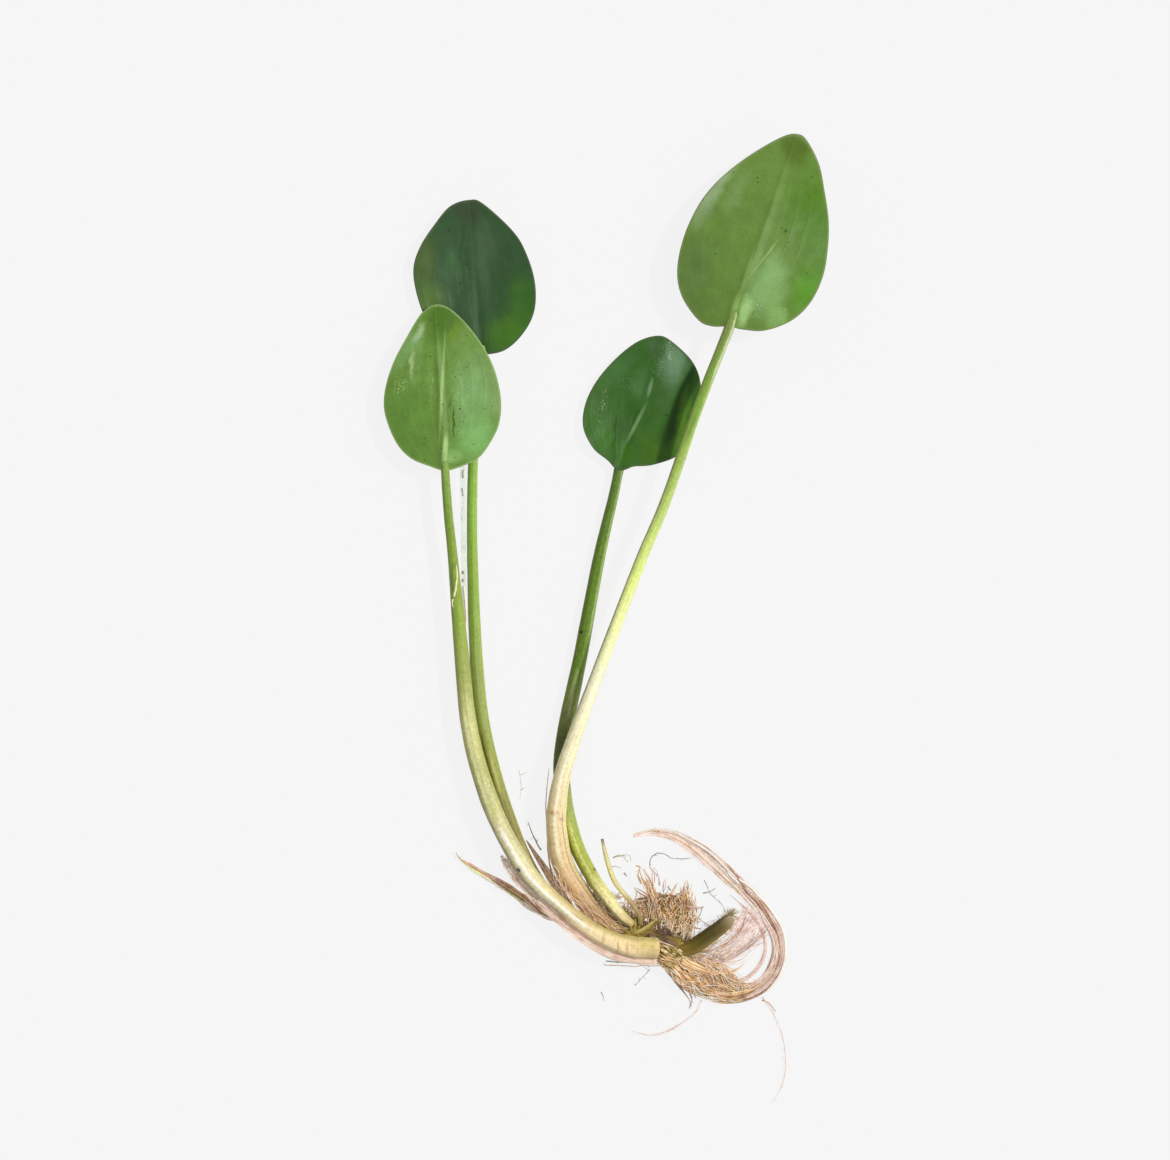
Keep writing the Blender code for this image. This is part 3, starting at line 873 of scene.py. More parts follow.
@dataclass(frozen=True)
class Leaf:
    """One leaf blade, with its midrib, arching veins and soft waves.

    rib is the midrib's height at the base, below 0 for a groove, and rib_width half its
    width there. waves is how far the surface ripples.
    """

    name: str
    node: str
    slot: str
    sheet: Sheet
    shown: LeafFinish
    hidden: LeafFinish
    rib: float
    rib_width: float
    waves: float = 0.3
    vein_relief: float = 0.005
    thickness: float = 0.8
    grid: int = 120
    seed: float = 0.0

    def relief(self, along: float, across: float, edge: float) -> float:
        """Return what the midrib, the veins and the waves add to the height."""
        t = min(1.0, max(0.0, along / self.sheet.length))
        width = self.rib_width * (1 - 0.75 * t)
        rib = self.rib * (1 - t) ** 0.7 * math.exp(-((across / width) ** 2))
        near, far, side = t + 0.05, 1.04 - t, across / self.sheet.length
        fan = math.atan2(side, near) + math.atan2(side, far)
        veins = math.cos(fan * 2 * math.pi / self.shown.gap) * self.vein_relief * (1 - edge**4)
        spot = Vector((along * 0.09, across * 0.13, self.seed))
        wave = noise(spot) * self.waves + noise(spot * 2.7) * self.waves * 0.35
        return rib + (veins + wave) * min(1.0, abs(across) / 2.5)

    def make(self) -> bpy.types.Object:
        """Return the finished leaf."""
        shape = self.sheet.plate(self.name, self.grid, self.relief)
        thing = solid(self.name, shape, self.shown.material(), self.hidden.material(), upward=True)
        thing.vertex_groups.new(name="body")
        wall = thing.modifiers.new("thickness", "SOLIDIFY")
        wall.thickness = self.thickness * MM
        wall.offset = 0.0
        wall.vertex_group = "body"
        wall.thickness_vertex_group = 0.35
        wall.material_offset = 1
        return keep(thing, self.slot, self.node)


LEFT_FRONT = Sheet(
    base=(-48.0, 44.0),
    bearing=-3.8,
    outline=(
        (50.0, 0.0), (48.5, 4.5), (42.5, 10.0), (35.0, 14.5), (28.0, 17.0), (20.0, 18.0),
        (13.0, 17.0), (7.5, 14.0), (3.0, 10.0), (1.0, 5.0), (0.0, 0.0), (1.8, -5.0),
        (4.5, -10.2), (9.5, -14.2), (18.0, -16.9), (25.0, -16.5), (33.0, -13.6),
        (40.0, -9.4), (47.5, -4.2),
    ),
    heights=(8.5, 9.6, 5.3),
    edge_lift=-3.0,
    fold=0.4,
)
LEFT_BACK = Sheet(
    base=(-37.2, 79.0),
    bearing=-4.4,
    outline=(
        (46.5, 0.0), (45.0, 4.0), (36.5, 12.0), (29.5, 15.6), (20.5, 17.6), (12.0, 16.8),
        (5.5, 13.0), (0.8, 7.0), (0.0, 0.0), (1.0, -6.5), (5.5, -12.5), (12.0, -16.0),
        (20.5, -18.2), (27.5, -18.4), (33.5, -16.0), (39.5, -11.5), (45.0, -6.0),
    ),
    heights=(2.8, 0.5, 5.0),
    edge_lift=3.6,
    fold=0.35,
)
RIGHT_FRONT = Sheet(
    base=(37.0, 87.0),
    bearing=19.4,
    outline=(
        (62.0, 0.0), (61.4, 3.2), (55.5, 9.2), (48.0, 13.5), (40.0, 17.5), (32.0, 20.0),
        (23.5, 21.4), (15.0, 20.5), (8.0, 17.0), (2.5, 10.5), (0.5, 4.0), (0.0, 0.0),
        (-1.6, -5.0), (-1.1, -9.5), (3.8, -16.3), (10.5, -20.2), (20.0, -21.7),
        (30.0, -21.0), (38.0, -18.7), (46.0, -14.5), (54.0, -8.8), (60.0, -3.5),
    ),
    heights=(11.5, 13.2, 0.5),
    edge_lift=-3.6,
    fold=0.3,
)
RIGHT_BACK = Sheet(
    base=(4.4, 45.7),
    bearing=16.3,
    outline=(
        (40.5, 0.0), (40.0, 4.5), (36.0, 12.0), (30.5, 16.2), (23.0, 18.0), (15.0, 18.2),
        (8.0, 16.0), (3.0, 9.5), (0.9, 4.2), (-0.7, 2.0), (-1.6, 0.0), (-0.9, -1.9), (0.4, -4.0), (2.7, -9.2),
        (7.8, -13.8), (14.5, -15.2), (22.0, -14.0), (30.0, -10.5), (37.0, -5.5),
    ),
    heights=(3.4, 0.55, 4.6),
    edge_lift=3.2,
    fold=0.4,
)

FACE_BELOW = LeafFinish("leaf_face_below", (58, 98, 40), (80, 122, 60), (70, 96, 52), roughness=0.3)
UNDERSIDE_BELOW = LeafFinish("leaf_underside_below", (112, 148, 78), (160, 188, 118), (130, 150, 100))

LEAVES = (
    Leaf(
        name="leaf_left_front",
        node="blade_left_front",
        slot="blade_underside",
        sheet=LEFT_FRONT,
        shown=LeafFinish(
            "leaf_left_front_underside",
            green=(100, 136, 56),
            vein=(150, 182, 104),
            rim=(150, 172, 112),
            specks=0.3,
            wrinkles=0.7,
            specular=0.16,
            patches=(
                Patch(408, 425, (60, 34), 8, (95, 136, 54), 0.8),
                Patch(446, 320, (34, 28), 0, (70, 108, 28), 0.95),
                # painted sheen along the upper left
                Patch(408, 350, (34, 16), 25, (126, 166, 96), 0.8),
                Patch(418, 372, (30, 9), 5, (120, 158, 84), 0.5),
                Patch(432, 380, (34, 7), 0, (112, 150, 68), 0.5),
                # the next two: painted sheen over the right half, where the key light falls
                Patch(472, 400, (62, 28), -4, (114, 156, 88), 0.9),
                Patch(476, 440, (30, 30), 30, (122, 174, 96), 0.8),
                Patch(455, 458, (10, 14), 0, (142, 186, 108), 0.6),
                Patch(443, 390, (72, 2.4), 3, (146, 182, 104), 0.8, 0.7, True),
                # the next two: painted whitish sheen streaks left of the midrib
                Patch(418, 334, (16, 5), 30, (170, 192, 148), 0.7),
                Patch(415, 366, (22, 3.0), -6, (176, 200, 140), 0.65, 0.8),
                # the next two: painted glints, broken into pale flecks
                Patch(434, 388, (24, 4.0), 2, (170, 198, 116), 0.7, 0.9, False, 2.0),
                Patch(403, 386, (16, 10), 20, (190, 210, 150), 0.7, 0.8, False, 2.4),
                Patch(410, 380, (40, 22), 0, (74, 108, 40), 0.5, 0.8, False, 1.6),
                # painted glints, broken into pale flecks
                Patch(460, 396, (40, 16), 0, (160, 188, 130), 0.5, 0.8, False, 2.2),
                Patch(458, 420, (34, 16), 0, (66, 98, 40), 0.6, 0.8, False, 1.9),
                Patch(456, 332, (18, 10), 30, (104, 136, 36), 0.7),
                Patch(446, 452, (24, 4.0), 4, (164, 196, 122), 0.95, 0.7, True),
                # dark tear line: a real slit in the leaf, with its shadow painted into the colour
                Patch(453, 424, (20, 1.3), 2, (52, 82, 30), 0.85, 0.5),
                Patch(450, 402, (10, 1.2), 12, (64, 98, 38), 0.5, 0.5),
            ),
        ),
        hidden=FACE_BELOW,
        rib=0.7,
        rib_width=1.5,
        seed=1.7,
    ),
    Leaf(
        name="leaf_left_back",
        node="blade_left_back",
        slot="blade_face",
        sheet=LEFT_BACK,
        shown=LeafFinish(
            "leaf_left_back_face",
            green=(56, 84, 52),
            vein=(68, 98, 60),
            rim=(84, 96, 70),
            specks=0.05,
            roughness=0.4,
            specular=0.1,
            patches=(
                Patch(466, 208, (18, 34), 60, (60, 74, 52), 0.9),
                Patch(424, 268, (50, 18), 5, (74, 96, 46), 0.9),
                Patch(432, 304, (26, 24), 0, (82, 112, 44), 0.85),
                Patch(512, 334, (40, 36), 40, (72, 116, 36), 0.95),
                Patch(524, 306, (52, 20), -8, (60, 104, 36), 0.85),
                Patch(500, 300, (30, 10), 0, (52, 84, 44), 0.6),
                # painted highlight: the greyish reflection strip right of the midrib
                Patch(482, 262, (60, 10), -5, (76, 102, 72), 0.6, 1.0),
                Patch(462, 250, (60, 3), -4, (44, 70, 42), 0.5, 0.9),
                # more of the painted highlight strip right of the midrib
                Patch(485, 240, (34, 13), -12, (74, 98, 68), 0.7),
                Patch(470, 262, (56, 3), -5, (46, 72, 44), 0.5, 0.9),
                Patch(520, 250, (40, 10), -20, (56, 84, 52), 0.8),
                Patch(449, 262, (30, 12), 0, (66, 100, 62), 0.6),
            ),
        ),
        hidden=UNDERSIDE_BELOW,
        rib=-0.3,
        rib_width=1.6,
        seed=5.1,
    ),
    Leaf(
        name="leaf_right_front",
        node="blade_right_front",
        slot="blade_underside",
        sheet=RIGHT_FRONT,
        shown=LeafFinish(
            "leaf_right_front_underside",
            green=(100, 132, 58),
            vein=(134, 164, 88),
            rim=(126, 142, 92),
            specks=0.08,
            specular=0.12,
            patches=(
                Patch(692, 275, (60, 24), 8, (94, 122, 62), 0.8),
                # painted sheen along the upper-left edge
                Patch(716, 186, (50, 13), 38, (148, 170, 124), 0.9),
                Patch(706, 180, (54, 5), 38, (182, 178, 156), 0.6, 0.9),
                Patch(761, 263, (36, 1.3), 38, (146, 174, 106), 0.7, 0.6, True),
                Patch(784, 234, (2.4, 2.4), 0, (58, 84, 34), 0.9, 0.5, True),
                Patch(762, 285, (2.0, 2.0), 0, (70, 100, 44), 0.8, 0.5, True),
                # painted sheen on the lower right, by the base
                Patch(766, 282, (40, 18), 25, (134, 172, 108), 0.7, 0.7),
                # the next three: painted glints, broken into pale flecks
                Patch(754, 304, (20, 15), 10, (200, 220, 184), 0.75, 0.7, False, 2.3),
                Patch(776, 316, (10, 12), 0, (210, 226, 194), 0.8, 0.7, False, 2.0),
                Patch(768, 290, (30, 20), 20, (160, 196, 134), 0.5, 0.7, False, 1.8),
                # painted sheen along the upper-left edge
                Patch(706, 208, (36, 14), 30, (138, 162, 114), 0.7),
                Patch(736, 196, (34, 12), 30, (124, 154, 94), 0.5),
                Patch(795, 150, (22, 28), 60, (80, 104, 34), 0.95),
                Patch(816, 232, (92, 44), -4, (74, 116, 20), 0.95),
                Patch(804, 292, (38, 20), 20, (84, 140, 34), 0.9),
                # the next three: painted sheen on the lower right, by the base
                Patch(765, 290, (40, 26), 18, (128, 166, 100), 0.85),
                Patch(775, 318, (16, 26), 70, (130, 172, 96), 0.8),
                Patch(743, 314, (24, 9), 22, (162, 200, 126), 0.85),
                Patch(733, 312, (26, 4.5), 14, (146, 178, 100), 0.8, 0.8, True),
                Patch(744, 280, (46, 2.6), 17, (132, 166, 92), 0.6, 0.8, True),
                Patch(752, 266, (30, 7), 22, (128, 160, 94), 0.5),
            ),
        ),
        hidden=FACE_BELOW,
        rib=0.6,
        rib_width=1.6,
        waves=0.2,
        grid=140,
        seed=9.3,
    ),
    Leaf(
        name="leaf_right_back",
        node="blade_right_back",
        slot="blade_face",
        sheet=RIGHT_BACK,
        shown=LeafFinish(
            "leaf_right_back_face",
            green=(58, 98, 38),
            vein=(70, 112, 50),
            rim=(82, 96, 66),
            specks=0.08,
            roughness=0.4,
            specular=0.1,
            patches=(
                # painted shadow: the dark band that the right front stalk casts across this leaf
                Patch(680, 405, (52, 8), 19, (34, 60, 26), 0.7, 0.5, True),
                Patch(620, 368, (32, 14), 40, (68, 108, 56), 0.8),
                Patch(597, 398, (40, 12), 15, (66, 102, 46), 0.8),
                Patch(602, 436, (30, 16), -20, (58, 106, 34), 0.8),
                Patch(628, 428, (44, 12), 12, (42, 84, 18), 0.9),
                Patch(622, 452, (16, 18), 80, (56, 100, 20), 0.8),
                Patch(640, 384, (26, 12), 15, (72, 112, 62), 0.7),
                # painted sheen on the right half, beside the fold
                Patch(674, 362, (38, 18), 12, (114, 148, 112), 0.9),
                Patch(664, 398, (24, 14), 15, (70, 108, 54), 0.7),
                # the next six: painted sheen lines and painted glints in pale flecks
                Patch(636, 424, (30, 3), 27, (120, 154, 108), 0.7, 0.8, True),
                Patch(650, 388, (14, 3), 15, (126, 156, 118), 0.7, 0.8, True),
                Patch(628, 385, (18, 12), 10, (104, 140, 96), 0.6, 0.8, False, 1.4),
                Patch(662, 362, (28, 14), 14, (132, 164, 130), 0.6, 0.8, False, 1.5),
                Patch(604, 406, (24, 5), 8, (150, 180, 136), 0.8, 0.6, False, 2.2),
                Patch(672, 348, (12, 5), 10, (196, 210, 190), 0.8, 0.6, False, 2.0),
                Patch(616, 430, (40, 4), 8, (36, 74, 14), 0.6),
                Patch(650, 452, (18, 26), 80, (70, 106, 30), 0.8),
                Patch(682, 425, (50, 10), 12, (84, 124, 36), 0.9),
                Patch(655, 346, (10, 26), 80, (76, 104, 66), 0.7),
            ),
        ),
        hidden=UNDERSIDE_BELOW,
        rib=-0.25,
        rib_width=1.4,
        waves=0.35,
        seed=13.9,
    ),
)


# ---------------------------------------------------------------- stalks and crown


@dataclass(frozen=True)
class Stem:
    """A fleshy stem: a ribbed stalk, the crown, the runner's stub or a shoot.

    ribs is how many ridges go round it, rib_depth how far they stand out as a share of the
    radius, and lumps how uneven it is.
    """

    name: str
    node: str
    slot: str
    route: tuple[Point, ...]
    finish: StalkFinish
    tail: tuple[Point, ...] = ()
    sides: int = 32
    spacing: float = 0.9
    ribs: int = 9
    rib_depth: float = 0.03
    lumps: float = 0.03
    flare: float = 0.0
    seed: float = 0.0

    @property
    def length(self) -> float:
        """Return the length of the route, without its tail."""
        places = [Vector(point[:3]) for point in self.route]
        return sum((end - start).length for start, end in zip(places, places[1:]))

    def swell(self, angle: float, run: float) -> float:
        """Return the factor on the radius."""
        spread = min(1.0, max(0.0, (run - self.length + 3.0) / 5.0))
        wing = self.flare * spread**2 * math.cos(angle) ** 2
        ridge = self.rib_depth * math.cos(self.ribs * angle + 0.02 * run + self.seed)
        spot = Vector((math.cos(angle) * 0.8, math.sin(angle) * 0.8, run * 0.12 + self.seed))
        return 1.0 + wing + ridge + self.lumps * noise(spot) + self.lumps * 0.5 * noise(spot * 3.1)

    def make(self) -> bpy.types.Object:
        """Return the finished stem."""
        route = (*self.route, *self.tail)
        thing = wrap(self.name, route, self.sides, self.spacing, self.finish.material(), self.swell)
        return keep(thing, self.slot, self.node)


def tail(sheet: Sheet, *steps: tuple[float, float, float]) -> tuple[Point, ...]:
    """Return the points of a stalk that run on along a leaf's midrib.

    Args:
        sheet: The leaf's plate.
        *steps: How far along it, how far above it, and the radius there.

    Returns:
        The points, with their radii.
    """
    return tuple((*sheet.place(along, 0.0, above), radius) for along, above, radius in steps)


STEMS = (
    Stem(
        name="stalk_left_back",
        node="petiole_left_back",
        slot="petiole",
        route=(
            (17.5, -102.0, 3.6, 2.0), (13.0, -102.2, 2.9, 2.1), (2.0, -100.5, 2.3, 2.3),
            (-10.0, -92.5, 2.3, 2.3), (-21.0, -79.0, 2.4, 2.4), (-29.0, -61.5, 2.4, 2.4),
            (-36.0, -37.5, 2.3, 2.3), (-38.7, -15.0, 2.0, 2.0), (-40.0, 17.5, 1.6, 1.6),
            (-40.0, 41.5, 1.6, 1.5), (-39.0, 62.0, 1.9, 1.5), (-37.3, 78.4, 2.5, 1.35),
        ),
        tail=tail(LEFT_BACK, (3.0, -1.1, 0.9), (7.0, -1.0, 0.4)),
        finish=StalkFinish(
            "stalk_left_back",
            (
                # the near-white base is painted light, brightened where the front stalk's shadow falls on it
                (0.0, (255, 236, 212)), (0.1, (255, 238, 216)), (0.16, (244, 218, 186)),
                (0.23, (200, 172, 130)), (0.29, (128, 112, 54)), (0.37, (138, 138, 58)),
                (0.5, (140, 154, 72)), (0.62, (130, 160, 58)), (0.75, (134, 170, 60)),
                (1.0, (128, 166, 82)),
            ),
            streaks=(Streak(0.28, 0.45, -0.5, 0.35, (84, 84, 22), 0.7), Streak(0.34, 0.42, 0.2, 0.3, (190, 188, 110), 0.5)),
            fibres=0.26,
            mottle=0.35,
        ),
        flare=0.1,
        seed=2.0,
    ),
    Stem(
        name="stalk_left_front",
        node="petiole_left_front",
        slot="petiole",
        route=(
            (15.3, -99.0, 8.4, 3.2), (8.0, -98.5, 8.6, 3.1), (0.5, -96.0, 9.0, 2.6),
            (-6.0, -92.0, 9.2, 2.3), (-13.5, -86.0, 9.2, 2.2), (-23.5, -76.0, 8.8, 2.6),
            (-33.5, -58.0, 7.3, 2.7), (-40.5, -35.0, 6.2, 2.5), (-43.5, -8.0, 6.1, 2.1),
            (-45.7, 17.0, 7.0, 1.5), (-47.1, 30.5, 7.8, 1.35), (-47.9, 41.5, 8.4, 1.3),
        ),
        tail=tail(LEFT_FRONT, (1.5, -0.15, 1.25), (5.0, -0.25, 1.0), (12.0, -0.4, 0.7), (18.0, -0.6, 0.4)),
        finish=StalkFinish(
            "stalk_left_front",
            (
                (0.0, (210, 186, 130)), (0.05, (232, 208, 152)), (0.15, (228, 208, 160)),
                (0.26, (224, 214, 170)), (0.34, (208, 202, 150)), (0.42, (182, 180, 112)),
                (0.5, (202, 200, 136)), (0.57, (158, 166, 88)), (0.66, (140, 164, 62)),
                (0.75, (126, 154, 52)), (0.84, (118, 148, 56)), (1.0, (134, 168, 84)),
            ),
            left=((112, 116, 60), 0.45),
            right=((160, 166, 84), 0.4),
            streaks=(
                # the next two: painted highlight along the top of the stalk
                Streak(0.1, 0.34, -0.12, 0.34, (250, 246, 230), 0.9),
                Streak(0.34, 0.53, -0.25, 0.32, (228, 226, 172), 0.6),
                # painted shade along the left edge
                Streak(0.14, 0.42, -0.96, 0.2, (128, 116, 100), 0.6),
            ),
            patches=(
                # the next two: painted highlight on the lower stalk
                Patch(596, 934, (80, 8), 114, (252, 226, 180), 0.8, 0.8),
                Patch(552, 908, (40, 6), 134, (255, 250, 232), 0.7, 0.8),
                Patch(604, 925, (66, 4), 112, (186, 156, 92), 0.55, 0.8),
                Patch(566, 900, (40, 4), 130, (192, 166, 106), 0.5, 0.8),
                Patch(618, 956, (50, 5.5), 104, (214, 160, 132), 0.85, 0.8),
                Patch(617.5, 947, (14, 1.5), 4, (196, 150, 96), 0.75, 0.7),
                Patch(627, 948, (13, 1.8), 0, (206, 168, 112), 0.6, 0.8),
                Patch(603, 938, (13, 2.4), 12, (206, 164, 116), 0.5, 0.8),
                Patch(648, 942, (14, 6), 95, (222, 204, 124), 0.7, 0.8),
                Patch(492, 806, (18, 6), -28, (172, 178, 88), 0.6, 0.8),
                Patch(473, 740, (26, 4), -14, (222, 222, 160), 0.5, 0.8, False, 1.2),
                Patch(486, 790, (44, 9), -22, (236, 234, 186), 0.6, 0.8, False, 1.3),
                Patch(488, 790, (44, 9), -22, (136, 140, 60), 0.5, 0.8, False, 1.7),
                Patch(519, 868, (2.0, 3.0), 40, (60, 66, 70), 0.9, 0.4),
                Patch(505, 862, (3.0, 2.0), 20, (140, 134, 110), 0.6, 0.5),
                Patch(455, 566, (5.0, 3.5), 0, (112, 120, 60), 0.7, 0.7),
                Patch(453, 580, (20, 1.6), -4, (96, 122, 62), 0.8, 0.6),
            ),
            bands=0.16,
            mottle=0.35,
            ticks=0.4,
        ),
        seed=4.0,
    ),
    Stem(
        name="stalk_right_back",
        node="petiole_right_back",
        slot="petiole",
        route=(
            (8.0, -92.0, 7.6, 1.2), (4.5, -89.0, 7.3, 1.6), (0.0, -83.5, 6.2, 1.9),
            (-4.6, -77.0, 4.6, 2.1), (-9.4, -67.0, 2.8, 2.25), (-12.6, -53.5, 2.4, 2.4),
            (-12.8, -38.5, 2.4, 2.4), (-7.5, -11.5, 2.2, 2.1), (-2.0, 17.5, 2.0, 1.8),
            (2.3, 36.0, 2.2, 1.5), (4.0, 44.2, 2.3, 1.4),
        ),
        tail=tail(RIGHT_BACK, (1.5, -1.5, 1.1), (5.5, -1.5, 0.6)),
        finish=StalkFinish(
            "stalk_right_back",
            (
                (0.0, (196, 172, 110)), (0.04, (240, 224, 172)), (0.09, (226, 218, 150)),
                (0.13, (170, 170, 76)), (0.2, (158, 170, 62)), (0.28, (150, 158, 80)),
                (0.35, (88, 90, 48)), (0.41, (82, 88, 46)), (0.47, (124, 134, 76)),
                (0.55, (94, 122, 34)), (0.75, (90, 122, 26)), (1.0, (86, 116, 44)),
            ),
            left=((88, 96, 34), 0.65),
            right=((150, 176, 84), 0.3),
            streaks=(
                Streak(0.09, 0.26, 0.0, 0.3, (222, 220, 140), 0.55),
                Streak(0.44, 0.56, 0.0, 0.3, (170, 178, 126), 0.6),
                # painted light along the right edge
                Streak(0.6, 1.0, 0.75, 0.2, (176, 190, 130), 0.4),
            ),
            speckle=0.5,
            mottle=0.4,
            ticks=0.3,
            patches=(
                Patch(581, 632, (2.0, 2.6), 0, (40, 44, 26), 0.9, 0.4),
                Patch(595, 868, (2.0, 2.0), 0, (70, 70, 30), 0.7, 0.4),
            ),
        ),
        flare=0.2,
        seed=6.0,
    ),
    Stem(
        name="stalk_right_front",
        node="petiole_right_front",
        slot="petiole",
        route=(
            (10.0, -95.5, 3.4, 2.0), (5.0, -94.0, 3.2, 2.7), (-1.0, -91.0, 3.1, 3.0),
            (-7.5, -83.0, 3.3, 3.1), (-12.5, -74.5, 4.4, 3.2), (-14.5, -65.0, 6.4, 3.1),
            (-14.5, -57.0, 8.0, 2.9), (-12.0, -44.0, 9.0, 2.4), (-3.0, -18.5, 9.4, 1.9),
            (10.5, 17.0, 10.0, 1.7), (18.0, 35.0, 10.4, 1.6), (27.5, 62.5, 11.2, 1.5),
            (34.5, 80.5, 11.5, 1.5), (36.3, 85.0, 11.5, 1.55),
        ),
        tail=tail(RIGHT_FRONT, (1.5, -0.15, 1.45), (6.0, -0.3, 1.1), (14.0, -0.5, 0.7), (20.0, -0.7, 0.4)),
        finish=StalkFinish(
            "stalk_right_front",
            (
                (0.0, (164, 140, 86)), (0.06, (174, 140, 98)), (0.11, (214, 180, 136)),
                (0.2, (230, 208, 160)), (0.3, (234, 226, 188)), (0.4, (240, 238, 202)),
                (0.48, (232, 236, 170)), (0.55, (216, 230, 134)), (0.64, (182, 204, 112)),
                (0.72, (148, 176, 84)), (0.8, (124, 164, 62)), (0.9, (120, 142, 68)),
                (1.0, (144, 176, 92)),
            ),
            left=((158, 146, 96), 0.45),
            right=((214, 214, 140), 0.3),
            streaks=(
                Streak(0.06, 0.24, 0.62, 0.12, (150, 112, 78), 0.55),
                # painted highlight along the top
                Streak(0.14, 0.3, -0.15, 0.3, (252, 242, 212), 0.5),
                # painted shade along the left edge
                Streak(0.34, 0.72, -0.97, 0.14, (130, 130, 116), 0.75),
                # painted light along the right edge
                Streak(0.82, 1.0, 0.7, 0.3, (206, 216, 176), 0.6),
            ),
            ticks=0.35,
            patches=(
                Patch(554, 811, (4.0, 7.0), 6, (186, 140, 84), 0.85, 0.8),
                Patch(552, 826, (1.6, 6.0), 4, (206, 170, 120), 0.6, 0.8),
                Patch(553, 842, (1.6, 6.0), -6, (212, 176, 130), 0.6, 0.8),
                Patch(556, 858, (1.8, 7.0), -14, (206, 168, 124), 0.6, 0.8),
                Patch(562, 818, (2.6, 3.0), 10, (180, 146, 140), 0.6, 0.8),
                Patch(692, 425, (30, 3), 22, (84, 122, 44), 0.5, 0.8),
                Patch(603, 676, (2.0, 3.0), 20, (196, 200, 164), 0.6, 0.6),
            ),
        ),
        seed=8.0,
    ),
    Stem(
        name="crown_core",
        node="crown",
        slot="crown",
        route=(
            (7.0, -93.2, 5.0, 1.3), (9.0, -94.0, 5.0, 2.1), (13.0, -95.5, 5.0, 2.7),
            (17.5, -97.3, 5.2, 3.1), (21.6, -98.9, 5.4, 3.1),
        ),
        finish=StalkFinish(
            "crown_core",
            (
                (0.0, (136, 112, 46)), (0.35, (140, 112, 56)), (0.7, (116, 86, 58)),
                (1.0, (134, 108, 40)),
            ),
            roughness=0.7,
            fibres=0.7,
            mottle=0.7,
            ticks=0.0,
            depth=0.5,
        ),
        spacing=0.5,
        lumps=0.16,
        rib_depth=0.05,
        seed=10.0,
    ),
    Stem(
        name="runner_stub",
        node="stolon_stub",
        slot="runner",
        route=(
            (22.2, -99.7, 5.6, 2.2), (26.0, -98.8, 5.8, 2.3), (28.5, -97.2, 6.0, 2.3),
            (31.5, -95.0, 6.6, 2.3), (34.5, -92.8, 7.2, 2.2), (36.8, -90.7, 7.6, 1.9), (37.6, -89.9, 7.7, 1.4),
        ),
        finish=StalkFinish(
            "runner_stub",
            (
                (0.0, (138, 112, 42)), (0.2, (104, 88, 24)), (0.4, (84, 74, 20)),
                (0.65, (80, 70, 32)), (0.82, (100, 86, 44)), (1.0, (156, 140, 110)),
            ),
            left=((70, 60, 30), 0.5),
            right=((150, 130, 76), 0.5),
            roughness=0.75,
            specular=0.25,
            fibres=0.3,
            speckle=0.0,
            depth=0.3,
        ),
        spacing=0.5,
        lumps=0.06,
        seed=12.0,
    ),
    Stem(
        name="shoot",
        node="young_shoot",
        slot="petiole",
        route=(
            (-1.0, -66.5, 6.4, 0.45), (0.5, -73.0, 7.0, 0.7), (3.0, -79.5, 8.0, 0.75),
            (7.5, -85.0, 9.0, 0.75), (10.2, -89.5, 8.4, 0.75), (10.5, -91.9, 7.6, 0.75),
        ),
        finish=StalkFinish(
            "shoot",
            (
                (0.0, (120, 112, 104)), (0.08, (206, 198, 146)), (0.3, (226, 216, 150)),
                (0.6, (226, 212, 152)), (0.75, (176, 150, 106)), (1.0, (146, 116, 72)),
            ),
        ),
        sides=16,
        spacing=0.6,
        lumps=0.12,
        seed=14.0,
    ),
)


# ---------------------------------------------------------------- withered sheaths


@dataclass(frozen=True)
class Husk:
    """A withered sheath: a thin papery strip with worn edges."""

    name: str
    node: str
    sheet: Sheet
    finish: HuskFinish
    seed: float

    def relief(self, along: float, across: float, edge: float) -> float:
        """Return the crinkles."""
        spot = Vector((along * 0.25, across * 0.9, self.seed))
        return 0.25 * noise(spot) + 0.12 * noise(spot * 3)

    def make(self) -> bpy.types.Object:
        """Return the finished strip."""
        thing = solid(self.name, self.sheet.plate(self.name, 40, self.relief), self.finish.material(), upward=True)
        thing.vertex_groups.new(name="body")
        wall = thing.modifiers.new("thickness", "SOLIDIFY")
        wall.thickness = 0.35 * MM
        wall.offset = 0.0
        wall.vertex_group = "body"
        wall.thickness_vertex_group = 0.3
        return keep(thing, "sheath", self.node)


HUSKS = (
    Husk(
        name="husk_left",
        node="sheath_left",
        sheet=Sheet(
            base=(-17.0, -87.7),
            bearing=-42.2,
            outline=((22.0, 0.6), (17.0, 1.6), (9.0, 2.0), (1.0, 1.4), (0.0, -0.6), (6.0, -1.7), (15.0, -1.5), (20.0, -0.8)),
            heights=(7.2, 7.4, 6.4),
            edge_lift=-1.2,
            fold=0.0,
        ),
        # near-white as painted light, brightened where the front stalk's shadow falls on it
        finish=HuskFinish("husk_left", (255, 238, 222), (222, 192, 172)),
        seed=3.0,
    ),
    Husk(
        name="husk_middle",
        node="sheath_middle",
        sheet=Sheet(
            base=(-9.4, -88.2),
            bearing=-34.0,
            outline=((26.0, 0.0), (17.0, 0.8), (8.0, 1.1), (1.0, 0.7), (1.0, -0.8), (8.0, -1.5), (17.0, -1.0)),
            heights=(6.5, 6.0, 4.0),
            edge_lift=0.3,
            fold=0.0,
        ),
        finish=HuskFinish("husk_middle", (170, 136, 104), (104, 80, 60), 0.0),
        seed=7.0,
    ),
)


# ---------------------------------------------------------------- roots


